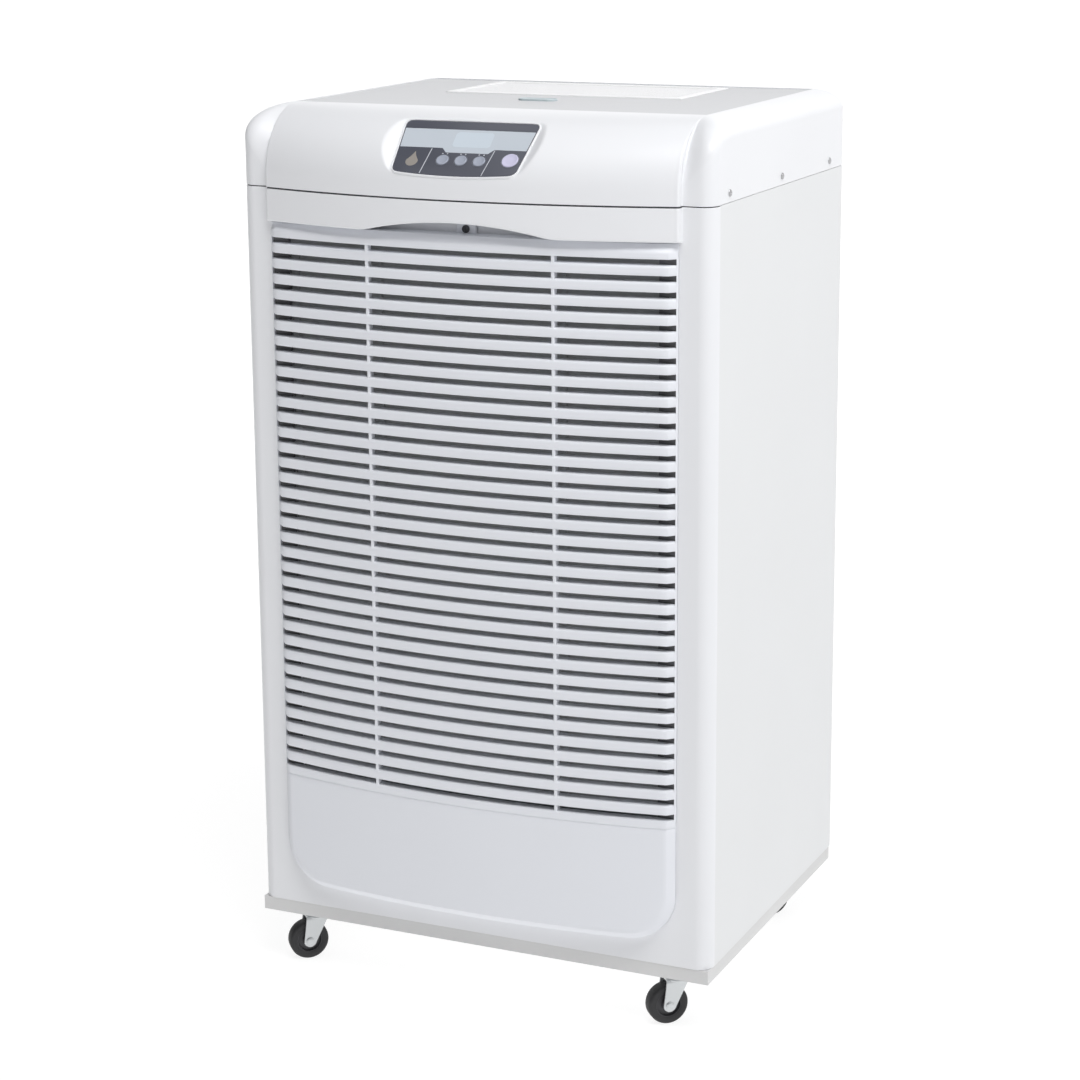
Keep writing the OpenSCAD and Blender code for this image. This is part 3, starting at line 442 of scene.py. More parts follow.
def scooped(x, d, z):
    """The brow's point pressed in to the control recess, and whether it moved."""
    u, v, w = to_control(x, d, z)
    if abs(u) > SCOOP_REACH[0] or abs(v) > SCOOP_REACH[1]:
        return cab(x, d, z), False
    gap = control_distance(u, v)
    wall = soft_max((gap - SCOOP_MARGIN) * SCOOP_SLOPE, 0.0, 1.2)
    if wall > w + SCOOP_BLEND:
        return cab(x, d, z), False
    low = soft_min(w, wall, SCOOP_BLEND)
    return from_control(u, v, low), low < w - 0.01


# ---------------------------------------------------------------- top cover

OUTLET = (150.0, 270.0, 420.0)
OUTLET_RIM = 8.0
BADGE_D, BADGE_HALF = 195.0, (25, 10)
TOP_SINK, TOP_RIM, SEAM_GAP = 1.2, 1.6, 0.7


def cover_columns():
    """(outer point, top point, height where the curve starts) for each column of the cover."""
    xs = steps(0, 120, 75) + steps(120, BOW_LAST, 26)[1:]
    columns = []
    plan = half_outline(xs)
    length = 0.0
    for k, (x, d) in enumerate(plan):
        if x > BOW_HALF + STEP_FOOT and k:
            length += math.hypot(x - plan[k - 1][0], d - plan[k - 1][1])
        columns.append([x, d, min(x, BOW_HALF), BROW_BACK, length])
    for d in (24, 32, 42, 52, 63, BROW_BACK):
        length += d - columns[-1][1]
        columns.append([CAB_HALF, d, SHOULDER_X, BROW_BACK, length])
    whole = length
    for d in cover_depths()[1:]:
        columns.append([CAB_HALF, d, SHOULDER_X, d, whole])
    out = []
    for x, d, qx, qd, run in columns:
        left = 1 - run / whole
        out.append((x, d, qx, qd, SHOULDER_Z - (SHOULDER_Z - BROW_Z0) * left ** 3))
    return out


def cover_depths():
    """Depths of the flat top's cross lines, from the brow to the rear."""
    rim = OUTLET_RIM
    return [BROW_BACK, BROW_BACK + TOP_RIM, 110, 150, 190, 230, OUTLET[1] - rim, 310, 350, 390,
            OUTLET[2] + rim, 440, CAB_BACK - TOP_RIM, CAB_BACK]


def cover_point(column, row):
    """Row is (a lift above the seam, an inset) on the wall, or an angle on the curve."""
    x, d, qx, qd, start = column
    kind, value = row
    if kind == "wall":
        z = SEAM_Z + SEAM_GAP + value * (start - SEAM_Z - SEAM_GAP)
        return x, d, z
    c, s = math.cos(math.radians(value)), math.sin(math.radians(value))
    return qx + (x - qx) * c, qd + (d - qd) * c, start + (CAB_TOP - start) * s


def build_cover():
    """White moulded cover with its brow, shoulders and scooped recess, and the flat top in a greyer copy of
    the white: painted shade.
    """
    right = cover_columns()
    columns = [(-x, d, -qx, qd, start) for x, d, qx, qd, start in reversed(right[1:])] + right
    rows = [("wall", v) for v in (0.0, 0.25, 0.5, 0.75)] + [("curve", a) for a in steps(0, 90, 84)]
    shell, scoop = bmesh.new(), bmesh.new()
    points, moved = [], []
    for row in rows:
        line, flags = [], []
        for column in columns:
            p, flag = scooped(*cover_point(column, row))
            line.append(p)
            flags.append(flag)
        points.append(line)
        moved.append(flags)

    def in_scoop(i, j):
        return moved[i][j] and moved[i + 1][j] and moved[i][j + 1] and moved[i + 1][j + 1]

    foot = []
    for lift, inset in ((-0.55, 1.6), (-0.45, 0.9), (-0.15, 0.3)):
        foot.append([inward(column, inset, SEAM_Z + SEAM_GAP + lift) for column in columns])
    net(shell, foot + points[:1])
    verts = net(shell, points, keep=lambda i, j: not in_scoop(i, j))
    net(scoop, points, keep=in_scoop)

    edge = OUTLET[0] + OUTLET_RIM
    half = [0, 50, 100, edge, 200, 235, BOW_HALF - TOP_RIM, BOW_HALF]
    top_xs = [-x for x in reversed(half[1:])] + half
    ds = cover_depths()
    top = []
    for d in ds:
        rim_d = d in (BROW_BACK, CAB_BACK)
        top.append([cab(x, d, CAB_TOP - (0 if rim_d or abs(x) == BOW_HALF else TOP_SINK)) for x in top_xs])

    def solid_top(i, j):
        middle_x = (top_xs[j] + top_xs[j + 1]) / 2
        middle_d = (ds[i] + ds[i + 1]) / 2
        return not (abs(middle_x) < edge and OUTLET[1] - OUTLET_RIM < middle_d < OUTLET[2] + OUTLET_RIM)

    plate = bmesh.new()
    net(plate, top, keep=solid_top)

    ring = [cab(*cover_point(columns[0], r)) for r in rows]
    ring += [cab(x, CAB_BACK, CAB_TOP) for x in top_xs[1:-1]]
    ring += [cab(*cover_point(columns[-1], r)) for r in reversed(rows)]
    shell.faces.new([shell.verts.new(p) for p in ring])
    piece("cover_shell", shell, [WHITE], "cabinet", ("top_cover",), solid=2.5 * MM)
    piece("cover_recess", scoop, [WHITE], "cabinet", ("control_bezel",), solid=2.0 * MM)
    # The flat top's grey is painted shade on the white moulding.
    piece("cover_top_plate", plate, [TOP_SHADED_GREY], "cabinet", solid=2.0 * MM, crease=20)


def inward(column, inset, z):
    """A point of the cover's foot, moved in from the outline."""
    x, d = column[0], column[1]
    cx, cd = x, d + 10
    if abs(x) > BOW_HALF - STEP_R:
        cx, cd = max(-BOW_HALF + 20, min(BOW_HALF - 20, x)), 60.0
    if d > POST_R and abs(x) == CAB_HALF:
        cx, cd = x * 0.9, d
    away = math.hypot(cx - x, cd - d)
    return cab(x + (cx - x) * inset / away, d + (cd - d) * inset / away, z)


# ---------------------------------------------------------------- front frame

BASE_TOP, FASCIA_Z0 = 87.0, 946.0
OPENING = (240.0, 150.0, 930.0)
ARCH_HALF, ARCH_RISE = 117.0, 14.0


def arch(x):
    """Height of the fascia's lower edge above its ends: a shallow arch that flares out softly."""
    t = abs(x) / ARCH_HALF
    if t >= 1.12:
        return 0.0
    r = (ARCH_HALF ** 2 + ARCH_RISE ** 2) / (2 * ARCH_RISE)
    circle = math.sqrt(max(0.0, r * r - x * x)) - (r - ARCH_RISE)
    return soft_max(circle, 0.0, 2.4)


def build_front_frame():
    """Flat frame with rounded corner posts, and the bowed fascia with its finger recess."""
    flat = [(x, 0.0) for x in (0, 20, 40, 60, 80, 100, 120, 160, 200, 240, 250, 258, 266, 274)]
    for t in steps(0, 90, 12):
        a = math.radians(t)
        flat.append((CAB_HALF - POST_R + POST_R * math.sin(a), POST_R - POST_R * math.cos(a)))
    flat.append((CAB_HALF, FRAME_D))
    plan = mirrored(flat)
    zs = [BASE_TOP, BASE_TOP + 0.4, 100, 120, OPENING[1], 300, 450, 600, 750, 900, OPENING[2],
          FASCIA_Z0, 970, SEAM_Z - 1.4, SEAM_Z - 0.9]
    inset = {BASE_TOP: 0.5, SEAM_Z - 0.9: 0.5}
    rows = []
    for z in zs:
        back = inset.get(z, 0)
        rows.append([cab(x * (1 - back / CAB_HALF), d + back, z) for x, d in plan])
    frame_mesh = bmesh.new()

    def keep(i, j):
        x = (plan[j][0] + plan[j + 1][0]) / 2
        z = (zs[i] + zs[i + 1]) / 2
        return not (abs(x) < OPENING[0] and OPENING[1] < z < OPENING[2])

    net(frame_mesh, rows, keep=keep)
    piece("front_frame_posts", frame_mesh, [WHITE], "cabinet", ("front_frame",), solid=3 * MM)

    half, low, high = OPENING
    middle = (low + high) / 2
    hole = [(-half, low), (half, low), (half, high), (-half, high)]
    lining = bmesh.new()
    walls = [(0.2, 1), (FRAME_D - 1, 1), (FRAME_D - 1, 1.006), (0.2, 1.006), (0.2, 1)]
    loops = [[cab(x * grow, d, middle + (z - middle) * grow) for x, z in hole] for d, grow in walls]
    stack(lining, loops, cap_low=False, cap_high=False)
    piece("front_frame_lining", lining, [WHITE], "cabinet")

    fascia = bmesh.new()
    columns = mirrored([p for p in half_outline(steps(0, BOW_LAST, 96)) if p[1] < -0.01])
    rows = []
    top = SEAM_Z - 1.7
    nose = 2.2

    def edge_z(x):
        return FASCIA_Z0 + arch(x)

    rows.append([cab(x, 0.4, edge_z(x)) for x, d in columns])
    rows.append([cab(x, min(0.3, d * 0.5), edge_z(x)) for x, d in columns])
    for t in steps(0, 90, 6):
        a = math.radians(t)
        rows.append([cab(x, min(0.2, d + nose - nose * math.sin(a)), edge_z(x) + nose - nose * math.cos(a))
                     for x, d in columns])
    for share in (0.2, 0.4, 0.6, 0.8, 0.97):
        rows.append([cab(x, d, edge_z(x) + nose + share * (top - 0.6 - edge_z(x) - nose))
                     for x, d in columns])
    rows.append([cab(x, d, top - 0.6) for x, d in columns])
    rows.append([cab(x, d + 0.6, top) for x, d in columns])
    rows.append([cab(x, min(0.4, d + 4), top) for x, d in columns])
    net(fascia, rows)
    piece("front_fascia", fascia, [WHITE], "cabinet", solid=1.2 * MM, inside=cab(0, 0, SEAM_Z - 15))


# ---------------------------------------------------------------- intake panel

PANEL_HALF, PANEL_Z0, PANEL_Z1, PANEL_CORNER = 259.0, 119.0, 944.0, 57.0
PANEL_EDGE, PANEL_MID = 10.0, 36.0
PANEL_ROUND, RIM_DROP = 9.0, 7.4
SLOTS, SLOT_Z0, SLOT_PITCH, SLOT_H, SLOT_X = 36, 274.0, 18.57, 6.8, 258.7
RIB_X, RIB_W = 118.0, 4.0
PLATE_TOP = SLOT_Z0 - SLOT_H / 2
SLAT_DEEP, SLAT_NOSE, SLAT_CROWN = 14.0, 1.3, 0.5
SLAT_TOP = (4.0, 2.6)
BACK_GAP, BAND_H = 1.6, 10.0


def panel_proud(x):
    return proud(x, PANEL_HALF, PANEL_EDGE, PANEL_MID)


def panel_low(x):
    """Height of the panel's lower edge at x, with its rounded corners."""
    over = abs(x) - (PANEL_HALF - PANEL_CORNER)
    if over <= 0:
        return PANEL_Z0
    return PANEL_Z0 + PANEL_CORNER - math.sqrt(max(0.0, PANEL_CORNER ** 2 - over ** 2))


def panel_drop(x, z):
    """How far the rounded rim falls back from the bow at a point of the panel."""
    side = PANEL_HALF - abs(x)
    foot = z - PANEL_Z0
    if abs(x) > PANEL_HALF - PANEL_CORNER and z < PANEL_Z0 + PANEL_CORNER:
        away = math.hypot(abs(x) - PANEL_HALF + PANEL_CORNER, z - PANEL_Z0 - PANEL_CORNER)
        inside = PANEL_CORNER - away
    else:
        inside = min(side, foot)
    if inside >= PANEL_ROUND:
        return 0.0
    return RIM_DROP * (1 - max(0.0, inside) / PANEL_ROUND) ** 1.15


RIM_STEPS = [0.0, 0.1, 0.4, 0.8, 1.4, 2.2, 3.3, 4.6, 6.0, 7.5, 9.0]


def panel_point(x, z):
    return cab(x, -panel_proud(x) + panel_drop(x, z), z)


def behind(x, depth, z=600.0):
    """The point at x and z that lies depth behind the panel's rounded skin, clear of the frame."""
    return cab(x, min(-panel_proud(x) + panel_drop(x, 600) + depth, -BACK_GAP), z)


def sweep(bm, xs, profile):
    """Sweeps a closed profile of (depth behind the bow, z) along the bow through xs, with ends."""
    rings = []
    for x in xs:
        rings.append([bm.verts.new(behind(x, depth, z)) for depth, z in profile])
    for a, b in zip(rings, rings[1:]):
        for k in range(len(profile)):
            n = (k + 1) % len(profile)
            bm.faces.new((a[k], a[n], b[n], b[k]))
    bm.faces.new(rings[0])
    bm.faces.new(list(reversed(rings[-1])))


def slat_profile(z0, z1):
    """Rounded louvre: a crowned face whose top rolls back into a web that runs back level."""
    r = SLAT_NOSE
    points = []
    for t in steps(0, 90, 4):
        a = math.radians(t)
        points.append((r - r * math.sin(a) + SLAT_CROWN, z0 + r - r * math.cos(a)))
    for t in steps(0, 90, 4):
        a = math.radians(t)
        points.append((SLAT_TOP[0] * (1 - math.cos(a)) + SLAT_CROWN, z1 - SLAT_TOP[1] * (1 - math.sin(a))))
    front = []
    for depth, z in points:
        t = (z - z0) / (z1 - z0)
        front.append((depth - SLAT_CROWN * (1 - (2 * t - 1) ** 2), z))
    middle = front[:5] + [(0.06, z0 + (z1 - z0) * 0.35), (0.0, (z0 + z1) / 2),
                          (0.06, z0 + (z1 - z0) * 0.62)] + front[5:]
    return middle + [(SLAT_DEEP, z1), (SLAT_DEEP, z1 - 2.2), (6.2, z1 - 2.2), (2.8, z0 + 3.0),
                     (3.4, z0 + 2.0), (3.4, z0)]


def build_panel():
    """Bowed intake panel: plain lower plate, border, louvred slats and the two vertical ribs."""
    edge = [PANEL_HALF - e for e in RIM_STEPS]
    corner = [PANEL_HALF - e for e in (13, 18, 24, 31, 39, 48, PANEL_CORNER)]
    xs = mirrored([(x,) for x in steps(0, 190, 24)] + [(x,) for x in reversed(edge + corner)])
    xs = [p[0] for p in xs]
    groove = PLATE_TOP - BAND_H
    plate = bmesh.new()
    rows = []
    for e in RIM_STEPS:
        rows.append([(x, panel_low(x) + e) for x in xs])
    for share in (0.04, 0.1, 0.2, 0.35, 0.5, 0.7, 0.85, 0.95):
        rows.append([(x, panel_low(x) + 9 + share * (groove - 3.4 - panel_low(x) - 9)) for x in xs])
    lines = [[panel_point(x, z) for x, z in row] for row in rows]
    for sink, up in ((0.0, -3.2), (0.5, -2.0), (1.1, -0.8), (1.1, 0.0), (0.2, 0.9), (0.0, 2.4)):
        lines.append([behind(x, sink, groove + up) for x in xs])
    lines.append([behind(x, 0, PLATE_TOP - 1.2) for x in xs])
    side = [cab(x, -0.6, panel_low(x)) for x in xs]
    lip = [[behind(x, back, PLATE_TOP - drop) for x in xs]
           for back, drop in ((0.35, 0.35), (1.2, 0.0), (SLAT_DEEP, 0.0))]
    net(plate, [side] + lines + lip)
    piece("panel_lower_plate", plate, [PANEL], "panel", ("intake_panel",), solid=2.4 * MM)

    top_z0 = SLOT_Z0 + (SLOTS - 1) * SLOT_PITCH + SLOT_H / 2
    border = bmesh.new()
    for s in (-1, 1):
        columns = [s * (PANEL_HALF - e) for e in RIM_STEPS[:5]]
        zs = steps(PLATE_TOP - 1.2, top_z0 + 1.3, 24)
        lines = [[cab(columns[0], -0.6, z)] + [behind(x, 0, z) for x in columns]
                 + [cab(columns[-1], -0.6, z)] for z in zs]
        net(border, lines)
    piece("panel_borders", border, [PANEL], "panel", crease=40)
    # Dark strips behind both ends of the slots, standing in for the shade there: painted shade.
    shade_strip = bmesh.new()
    for s in (-1, 1):
        corners = ((236, PLATE_TOP), (257, PLATE_TOP), (257, top_z0), (236, top_z0))
        stack(shade_strip, [[cab(s * x, d, z) for x, z in corners] for d in (-0.7, -1.3)])
    piece("panel_side_shade_strips", shade_strip, [SHADE_STRIP], "panel")

    slats = bmesh.new()
    rim = [SLOT_X, 258.2, 257.6, 256.8, 255.7, 254.4, 253.0, 251.5, 250.0]
    bow = [p[0] for p in mirrored([(x,) for x in steps(0, 243, 34)] + [(x,) for x in reversed(rim)])]
    for i in range(SLOTS - 1):
        z0 = SLOT_Z0 + i * SLOT_PITCH + SLOT_H / 2
        sweep(slats, bow, slat_profile(z0, z0 + SLOT_PITCH - SLOT_H))
    piece("panel_slats", slats, [PANEL], "panel", crease=50)

    strip = bmesh.new()
    wide = mirrored([(x,) for x in steps(0, 230, 30)] + [(x,) for x in reversed(edge)])
    wide = [p[0] for p in wide]
    levels = [(SLAT_DEEP, 0.0), (1.3, 0.0), (0.4, 0.3), (0.0, 1.3), (0.0, 3.0), (0.0, 5.0), (0.0, 7.0),
              (0.5, 8.3), (1.8, 9.6), (9.0, PANEL_Z1 - top_z0)]
    rows = [[behind(x, back, top_z0 + up) for x in wide] for back, up in levels]
    rows.append([cab(x, -0.6, PANEL_Z1) for x in wide])
    net(strip, rows)
    piece("panel_top_strip", strip, [PANEL], "panel", solid=2.0 * MM)

    ribs = bmesh.new()
    for s in (-1, 1):
        x0, x1 = s * RIB_X - RIB_W / 2, s * RIB_X + RIB_W / 2
        face = -panel_proud(RIB_X) + 1.0
        ring = [(x0, face + 0.8), (x0 + 0.8, face), (x1 - 0.8, face), (x1, face + 0.8), (x1, face + 9),
                (x0, face + 9)]
        ends = [[ribs.verts.new(cab(x, d, z)) for x, d in ring] for z in (PLATE_TOP - 2, top_z0 + 2)]
        for k in range(len(ring)):
            n = (k + 1) % len(ring)
            ribs.faces.new((ends[0][k], ends[0][n], ends[1][n], ends[1][k]))
        ribs.faces.new(ends[0])
        ribs.faces.new(list(reversed(ends[1])))
    piece("panel_ribs", ribs, [PANEL], "panel", crease=30)

    tab = bmesh.new()
    half, r, tab_top = 12.0, 3.0, 955
    outline = [(-half, PANEL_Z1 - 2), (half, PANEL_Z1 - 2)]
    for cx, start in ((half - r, 0), (-half + r, 90)):
        for t in steps(start, start + 90, 5):
            a = math.radians(t)
            outline.append((cx + r * math.cos(a), tab_top - r + r * math.sin(a)))
    front = [tab.verts.new(cab(x, -6, z)) for x, z in outline]
    rear = [tab.verts.new(cab(x, -2, z)) for x, z in outline]
    tab.faces.new(front)
    tab.faces.new(list(reversed(rear)))
    for k in range(len(outline)):
        n = (k + 1) % len(outline)
        tab.faces.new((front[k], front[n], rear[n], rear[k]))
    piece("panel_latch_tab", tab, [PANEL], "panel", bevel=0.5 * MM)


# ---------------------------------------------------------------- turned and outlined pieces

def lathe(bm, profile, place, count=48):
    """Turns (radius, height) points about the local Z of the 4x4 matrix place, in millimetres."""
    rings = []
    for r, h in profile:
        if r < 1e-6:
            rings.append([bm.verts.new(place @ Vector((0, 0, h * MM)))])
            continue
        rings.append([bm.verts.new(place @ Vector((r * MM * math.cos(a), r * MM * math.sin(a), h * MM)))
                      for a in (2 * math.pi * k / count for k in range(count))])
    for a, b in zip(rings, rings[1:]):
        for k in range(count):
            n = (k + 1) % count
            quad = [a[k % len(a)], a[n % len(a)], b[n % len(b)], b[k % len(b)]]
            face = [v for i, v in enumerate(quad) if v not in quad[:i]]
            if len(face) > 2:
                bm.faces.new(face)


def stack(bm, loops, cap_low=True, cap_high=True):
    """Skins a pile of closed loops that have equal numbers of points."""
    rings = [[bm.verts.new(p) for p in loop] for loop in loops]
    for a, b in zip(rings, rings[1:]):
        for k in range(len(a)):
            n = (k + 1) % len(a)
            bm.faces.new((a[k], a[n], b[n], b[k]))
    if cap_low:
        bm.faces.new(list(reversed(rings[0])))
    if cap_high:
        bm.faces.new(rings[-1])
    return rings


def control_loop(grow, w, count=168):
    """The dark panel's outline, grown by a margin, at height w above the panel's plane."""
    loop = []
    for k in range(count):
        a = 2 * math.pi * k / count
        near, far = 1.0, 140.0
        for _ in range(26):
            middle = (near + far) / 2
            if control_distance(middle * math.cos(a), middle * math.sin(a)) < grow:
                near = middle
            else:
                far = middle
        loop.append(from_control(near * math.cos(a), near * math.sin(a), w))
    return loop


def flat_plate(name, outline, w0, w1, mat, inset=0.25):
    """A thin inlay in the control panel's plane, with its top edge eased."""
    bm = bmesh.new()
    cu = sum(p[0] for p in outline) / len(outline)
    cv = sum(p[1] for p in outline) / len(outline)

    def loop(shrink, w):
        points = []
        for u, v in outline:
            away = math.hypot(u - cu, v - cv)
            points.append(from_control(u - (u - cu) * shrink / away, v - (v - cv) * shrink / away, w))
        return points

    stack(bm, [loop(0, w0), loop(0, w1 - inset * 0.5), loop(inset, w1)])
    return piece(name, bm, [mat], "cabinet", crease=25)


OVERLAY_W = 0.6
BUTTON_V, BUTTON_US, POWER_AT = -20.0, (-19.0, 4.0, 27.0), (64.5, -17.0)
BUTTON_R, POWER_R = 7.5, 10.0
DIVIDERS = (-38.0, 41.0)
DROP_AT, DROP_R = (-57, -23), 7.6


def panel_half(v):
    return CTL_LOW + (CTL_TOP - CTL_LOW) * (v + CTL_H) / (2 * CTL_H)


def build_controls():
    """Membrane overlay, display band, dividers, indicator lamps and the four keys."""
    overlay = bmesh.new()
    stack(overlay, [control_loop(0, -1.2), control_loop(0.15, 0.0), control_loop(0, OVERLAY_W - 0.2),
                    control_loop(-0.5, OVERLAY_W)])
    piece("control_membrane", overlay, [SMOKE], "cabinet", ("control_overlay",), crease=25)

    bezel = bmesh.new()
    section = [(0.25, -1.0), (0.25, 0.9), (0.6, 1.3), (1.5, 1.3), (2.1, 0.8), (2.3, -1.0), (0.25, -1.0)]
    stack(bezel, [control_loop(grow, w) for grow, w in section], cap_low=False, cap_high=False)
    piece("control_bezel_ring", bezel, [WHITE], "cabinet", crease=50)

    low, notch, high = -2.0, -8.5, 26.5
    band = [(-panel_half(high) + 1.2, high), (-panel_half(low) + 1.2, low), (-25, low), (-19, notch),
            (34, notch), (40, low), (panel_half(low) - 1.2, low), (panel_half(high) - 1.2, high)]
    plate = flat_plate("display_band", band, OVERLAY_W - 0.3, OVERLAY_W + 0.12, WINDOW)
    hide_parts("display_window")
    screen = [(-12, 0), (30, 0), (33, 3), (33, 20), (30, 23), (-12, 23), (-15, 20), (-15, 3)]
    flat_plate("display_screen", screen, OVERLAY_W, OVERLAY_W + 0.2, SCREEN)

    for k, u in enumerate(DIVIDERS):
        lean = -3.0 if k == 0 else -4.5
        bar = [(u - 0.55, low - 1), (u + 0.55, low - 1), (u + lean + 0.55, -41), (u + lean - 0.55, -41)]
        flat_plate(f"divider_{k + 1}", bar, OVERLAY_W - 0.2, OVERLAY_W + 0.1, PRINT, inset=0.1)
    for k, u in enumerate(BUTTON_US):
        for s in (-1, 1):
            dot = [(u + s * 3 + 0.9 * math.cos(math.radians(a)), -10.4 + 0.9 * math.sin(math.radians(a)))
                   for a in steps(0, 330, 11)]
            flat_plate(f"lamp_{2 * k + (s + 1) // 2 + 1}", dot, OVERLAY_W - 0.2, OVERLAY_W + 0.25, PRINT)
    drop = []
    for t in steps(0, 350, 35):
        a = math.radians(t)
        reach = DROP_R if math.sin(a) < 0 else DROP_R + 7.0 * math.sin(a) ** 3
        taper = 1 - 0.72 * max(0.0, math.sin(a)) ** 2
        drop.append((DROP_AT[0] + DROP_R * math.cos(a) * taper, DROP_AT[1] + reach * math.sin(a)))
    flat_plate("droplet_mark", drop, OVERLAY_W - 0.2, OVERLAY_W + 0.12, EMBLEM)

    keys = [("button_left", "key_left", BUTTON_US[0], BUTTON_V, BUTTON_R, KEYS),
            ("button_middle", "key_middle", BUTTON_US[1], BUTTON_V, BUTTON_R, KEYS),
            ("button_right", "key_right", BUTTON_US[2], BUTTON_V, BUTTON_R, KEYS),
            ("power_button", "key_power", POWER_AT[0], POWER_AT[1], POWER_R, LILAC)]
    axes = Matrix(((1, 0, 0), (0, math.cos(TILT), -math.sin(TILT)), (0, math.sin(TILT), math.cos(TILT))))
    for node, body, u, v, r, mat in keys:
        place = Matrix.Translation(from_control(u, v, 0)) @ axes.to_4x4()
        cap = bmesh.new()
        lathe(cap, [(0, -5.9), (r + 1.4, -5.9), (r + 1.4, -4.4), (r - 0.05, -4.4), (r - 0.05, 0.9),
                    (r - 0.2, 1.2), (r - 0.6, 1.42), (r - 1.3, 1.5), (r - 1.8, 1.42), (r - 2.6, 1.12),
                    (r * 0.4, 0.98), (0, 0.95)], place)
        piece(node + "_cap", cap, [mat], body, (node,), crease=40)
        ring = bmesh.new()
        lathe(ring, [(r + 0.25, OVERLAY_W - 0.3), (r + 0.25, OVERLAY_W + 0.25), (r + 0.45, OVERLAY_W + 0.4),
                     (r + 0.95, OVERLAY_W + 0.4), (r + 1.15, OVERLAY_W + 0.2), (r + 1.15, OVERLAY_W - 0.3),
                     (r + 0.25, OVERLAY_W - 0.3)], place)
        piece(node + "_surround", ring, [BEZEL_RING], "cabinet", crease=40)
    dress(BOARD, "control_board")


# ---------------------------------------------------------------- top details

def rounded_loop(half_x, half_d, r, d_mid, z, per_corner=6):
    """Rounded rectangle at height z, centred on x 0 and depth d_mid."""
    loop = []
    for sx, sd, start in ((1, 1, 0), (-1, 1, 90), (-1, -1, 180), (1, -1, 270)):
        for t in steps(start, start + 90, per_corner):
            a = math.radians(t)
            loop.append(cab(sx * (half_x - r) + r * math.cos(a),
                            d_mid + sd * (half_d - r) + r * math.sin(a), z))
    return loop


def build_outlet():
    """Discharge grille: a raised rim around close curved vanes, on three cross bars."""
    top = CAB_TOP
    d_mid = (OUTLET[1] + OUTLET[2]) / 2
    half_d = (OUTLET[2] - OUTLET[1]) / 2
    out_x, out_d = OUTLET[0] + OUTLET_RIM - 0.3, half_d + OUTLET_RIM - 0.3
    rim = bmesh.new()
    in_x, in_d = OUTLET[0], half_d
    section = [(out_x, out_d, 3.0, -2.0), (out_x, out_d, 3.0, -0.9), (out_x - 0.25, out_d - 0.25, 2.8, -0.3),
               (out_x - 0.9, out_d - 0.9, 2.4, 0), (in_x - 2.6, in_d - 2.6, 2.0, 0),
               (in_x - 3.4, in_d - 3.4, 1.4, -0.8), (in_x - 3.6, in_d - 3.6, 1.2, -14),
               (in_x - 0.5, in_d - 0.5, 1.2, -14), (in_x - 0.5, in_d - 0.5, 1.2, -2.0)]
    loops = [rounded_loop(x, d, r, d_mid, top + up) for x, d, r, up in section]
    stack(rim, loops + loops[:1], cap_low=False, cap_high=False)
    # The rim and vanes take the brighter copy of the white moulding: painted light.
    piece("outlet_rim", rim, [OUTLET_PAINTED_LIGHT], "cabinet", ("outlet_grille",), crease=35)
    vanes = bmesh.new()
    count, reach = 21, OUTLET[0] - 3.2
    pitch = 2 * (half_d - 3.5) / count
    for i in range(count):
        d = d_mid - half_d + 3.5 + (i + 0.5) * pitch
        section = []
        for t in steps(0, 180, 6):
            a = math.radians(t)
            section.append((d + 1.1 * math.cos(a), top - 2.0 + 1.1 * math.sin(a)))
        section += [(d - 0.8, top - 6), (d + 0.4, top - 12), (d + 2.0, top - 12), (d + 1.2, top - 6)]
        stack(vanes, [[cab(x, dd, z) for dd, z in section] for x in (-reach, reach)])
    for x in (-75, 0, 75):
        section = [(x - 1.4, top - 12.5), (x + 1.4, top - 12.5), (x + 1.4, top - 4), (x - 1.4, top - 4)]
        stack(vanes, [[cab(xx, d, z) for xx, z in section] for d in (OUTLET[1] + 3.2, OUTLET[2] - 3.2)])
    piece("outlet_vanes", vanes, [OUTLET_PAINTED_LIGHT], "cabinet", crease=40)


def build_badge():
    """Blank oval badge: a satin rim around a plain inlay."""
    base = CAB_TOP - TOP_SINK - 0.3
    half_x, half_d = BADGE_HALF

    def loop(grow, z):
        return rounded_loop(half_x + grow, half_d + grow, half_d + grow - 0.01, BADGE_D, z, per_corner=12)

    rim = bmesh.new()
    loops = [loop(0, base), loop(0, CAB_TOP + 0.4), loop(-0.3, CAB_TOP + 0.85), loop(-0.8, CAB_TOP + 1.0),
             loop(-1.4, CAB_TOP + 0.9), loop(-1.7, CAB_TOP + 0.5), loop(-1.7, base)]
    stack(rim, loops + loops[:1], cap_low=False, cap_high=False)
    piece("badge_rim", rim, [BADGE_RIM], "cabinet", ("badge",), crease=50)
    inlay = bmesh.new()
    stack(inlay, [loop(-1.75, base), loop(-1.75, CAB_TOP + 0.35), loop(-3.5, CAB_TOP + 0.6),
                  loop(-6.5, CAB_TOP + 0.72)])
    piece("badge_inlay_plate", inlay, [INLAY], "cabinet", crease=50)


def build_gasket():
    """Dark foam strip that shows as the line between the cover and the cabinet."""
    sides = [(CAB_HALF, d) for d in (60, 150, 250, 350, CAB_BACK - 2)]
    outline = mirrored(half_outline(steps(0, BOW_LAST, 48)) + sides)
    strip = bmesh.new()
    rows = []
    for inset, up in ((4.0, -1.6), (1.5, -1.6), (1.3, 0), (1.5, 2.0), (4.0, 2.0)):
        rows.append([inward(point, inset, SEAM_Z + up) for point in outline])
    net(strip, rows)
    piece("cover_gasket", strip, [DARK], "cabinet")


# ---------------------------------------------------------------- screws

def domed_screw(bm, place, r=4.0, t=2.1):
    """Pan head with a round recess, standing on the local plane z = 0."""
    lathe(bm, [(0, -3), (r * 0.5, -3), (r * 0.5, 0), (r, 0), (r, t * 0.35), (r * 0.93, t * 0.62),
               (r * 0.72, t * 0.86), (r * 0.42, t), (r * 0.3, t), (r * 0.18, t * 0.45), (0, t * 0.35)],
          place, 32)


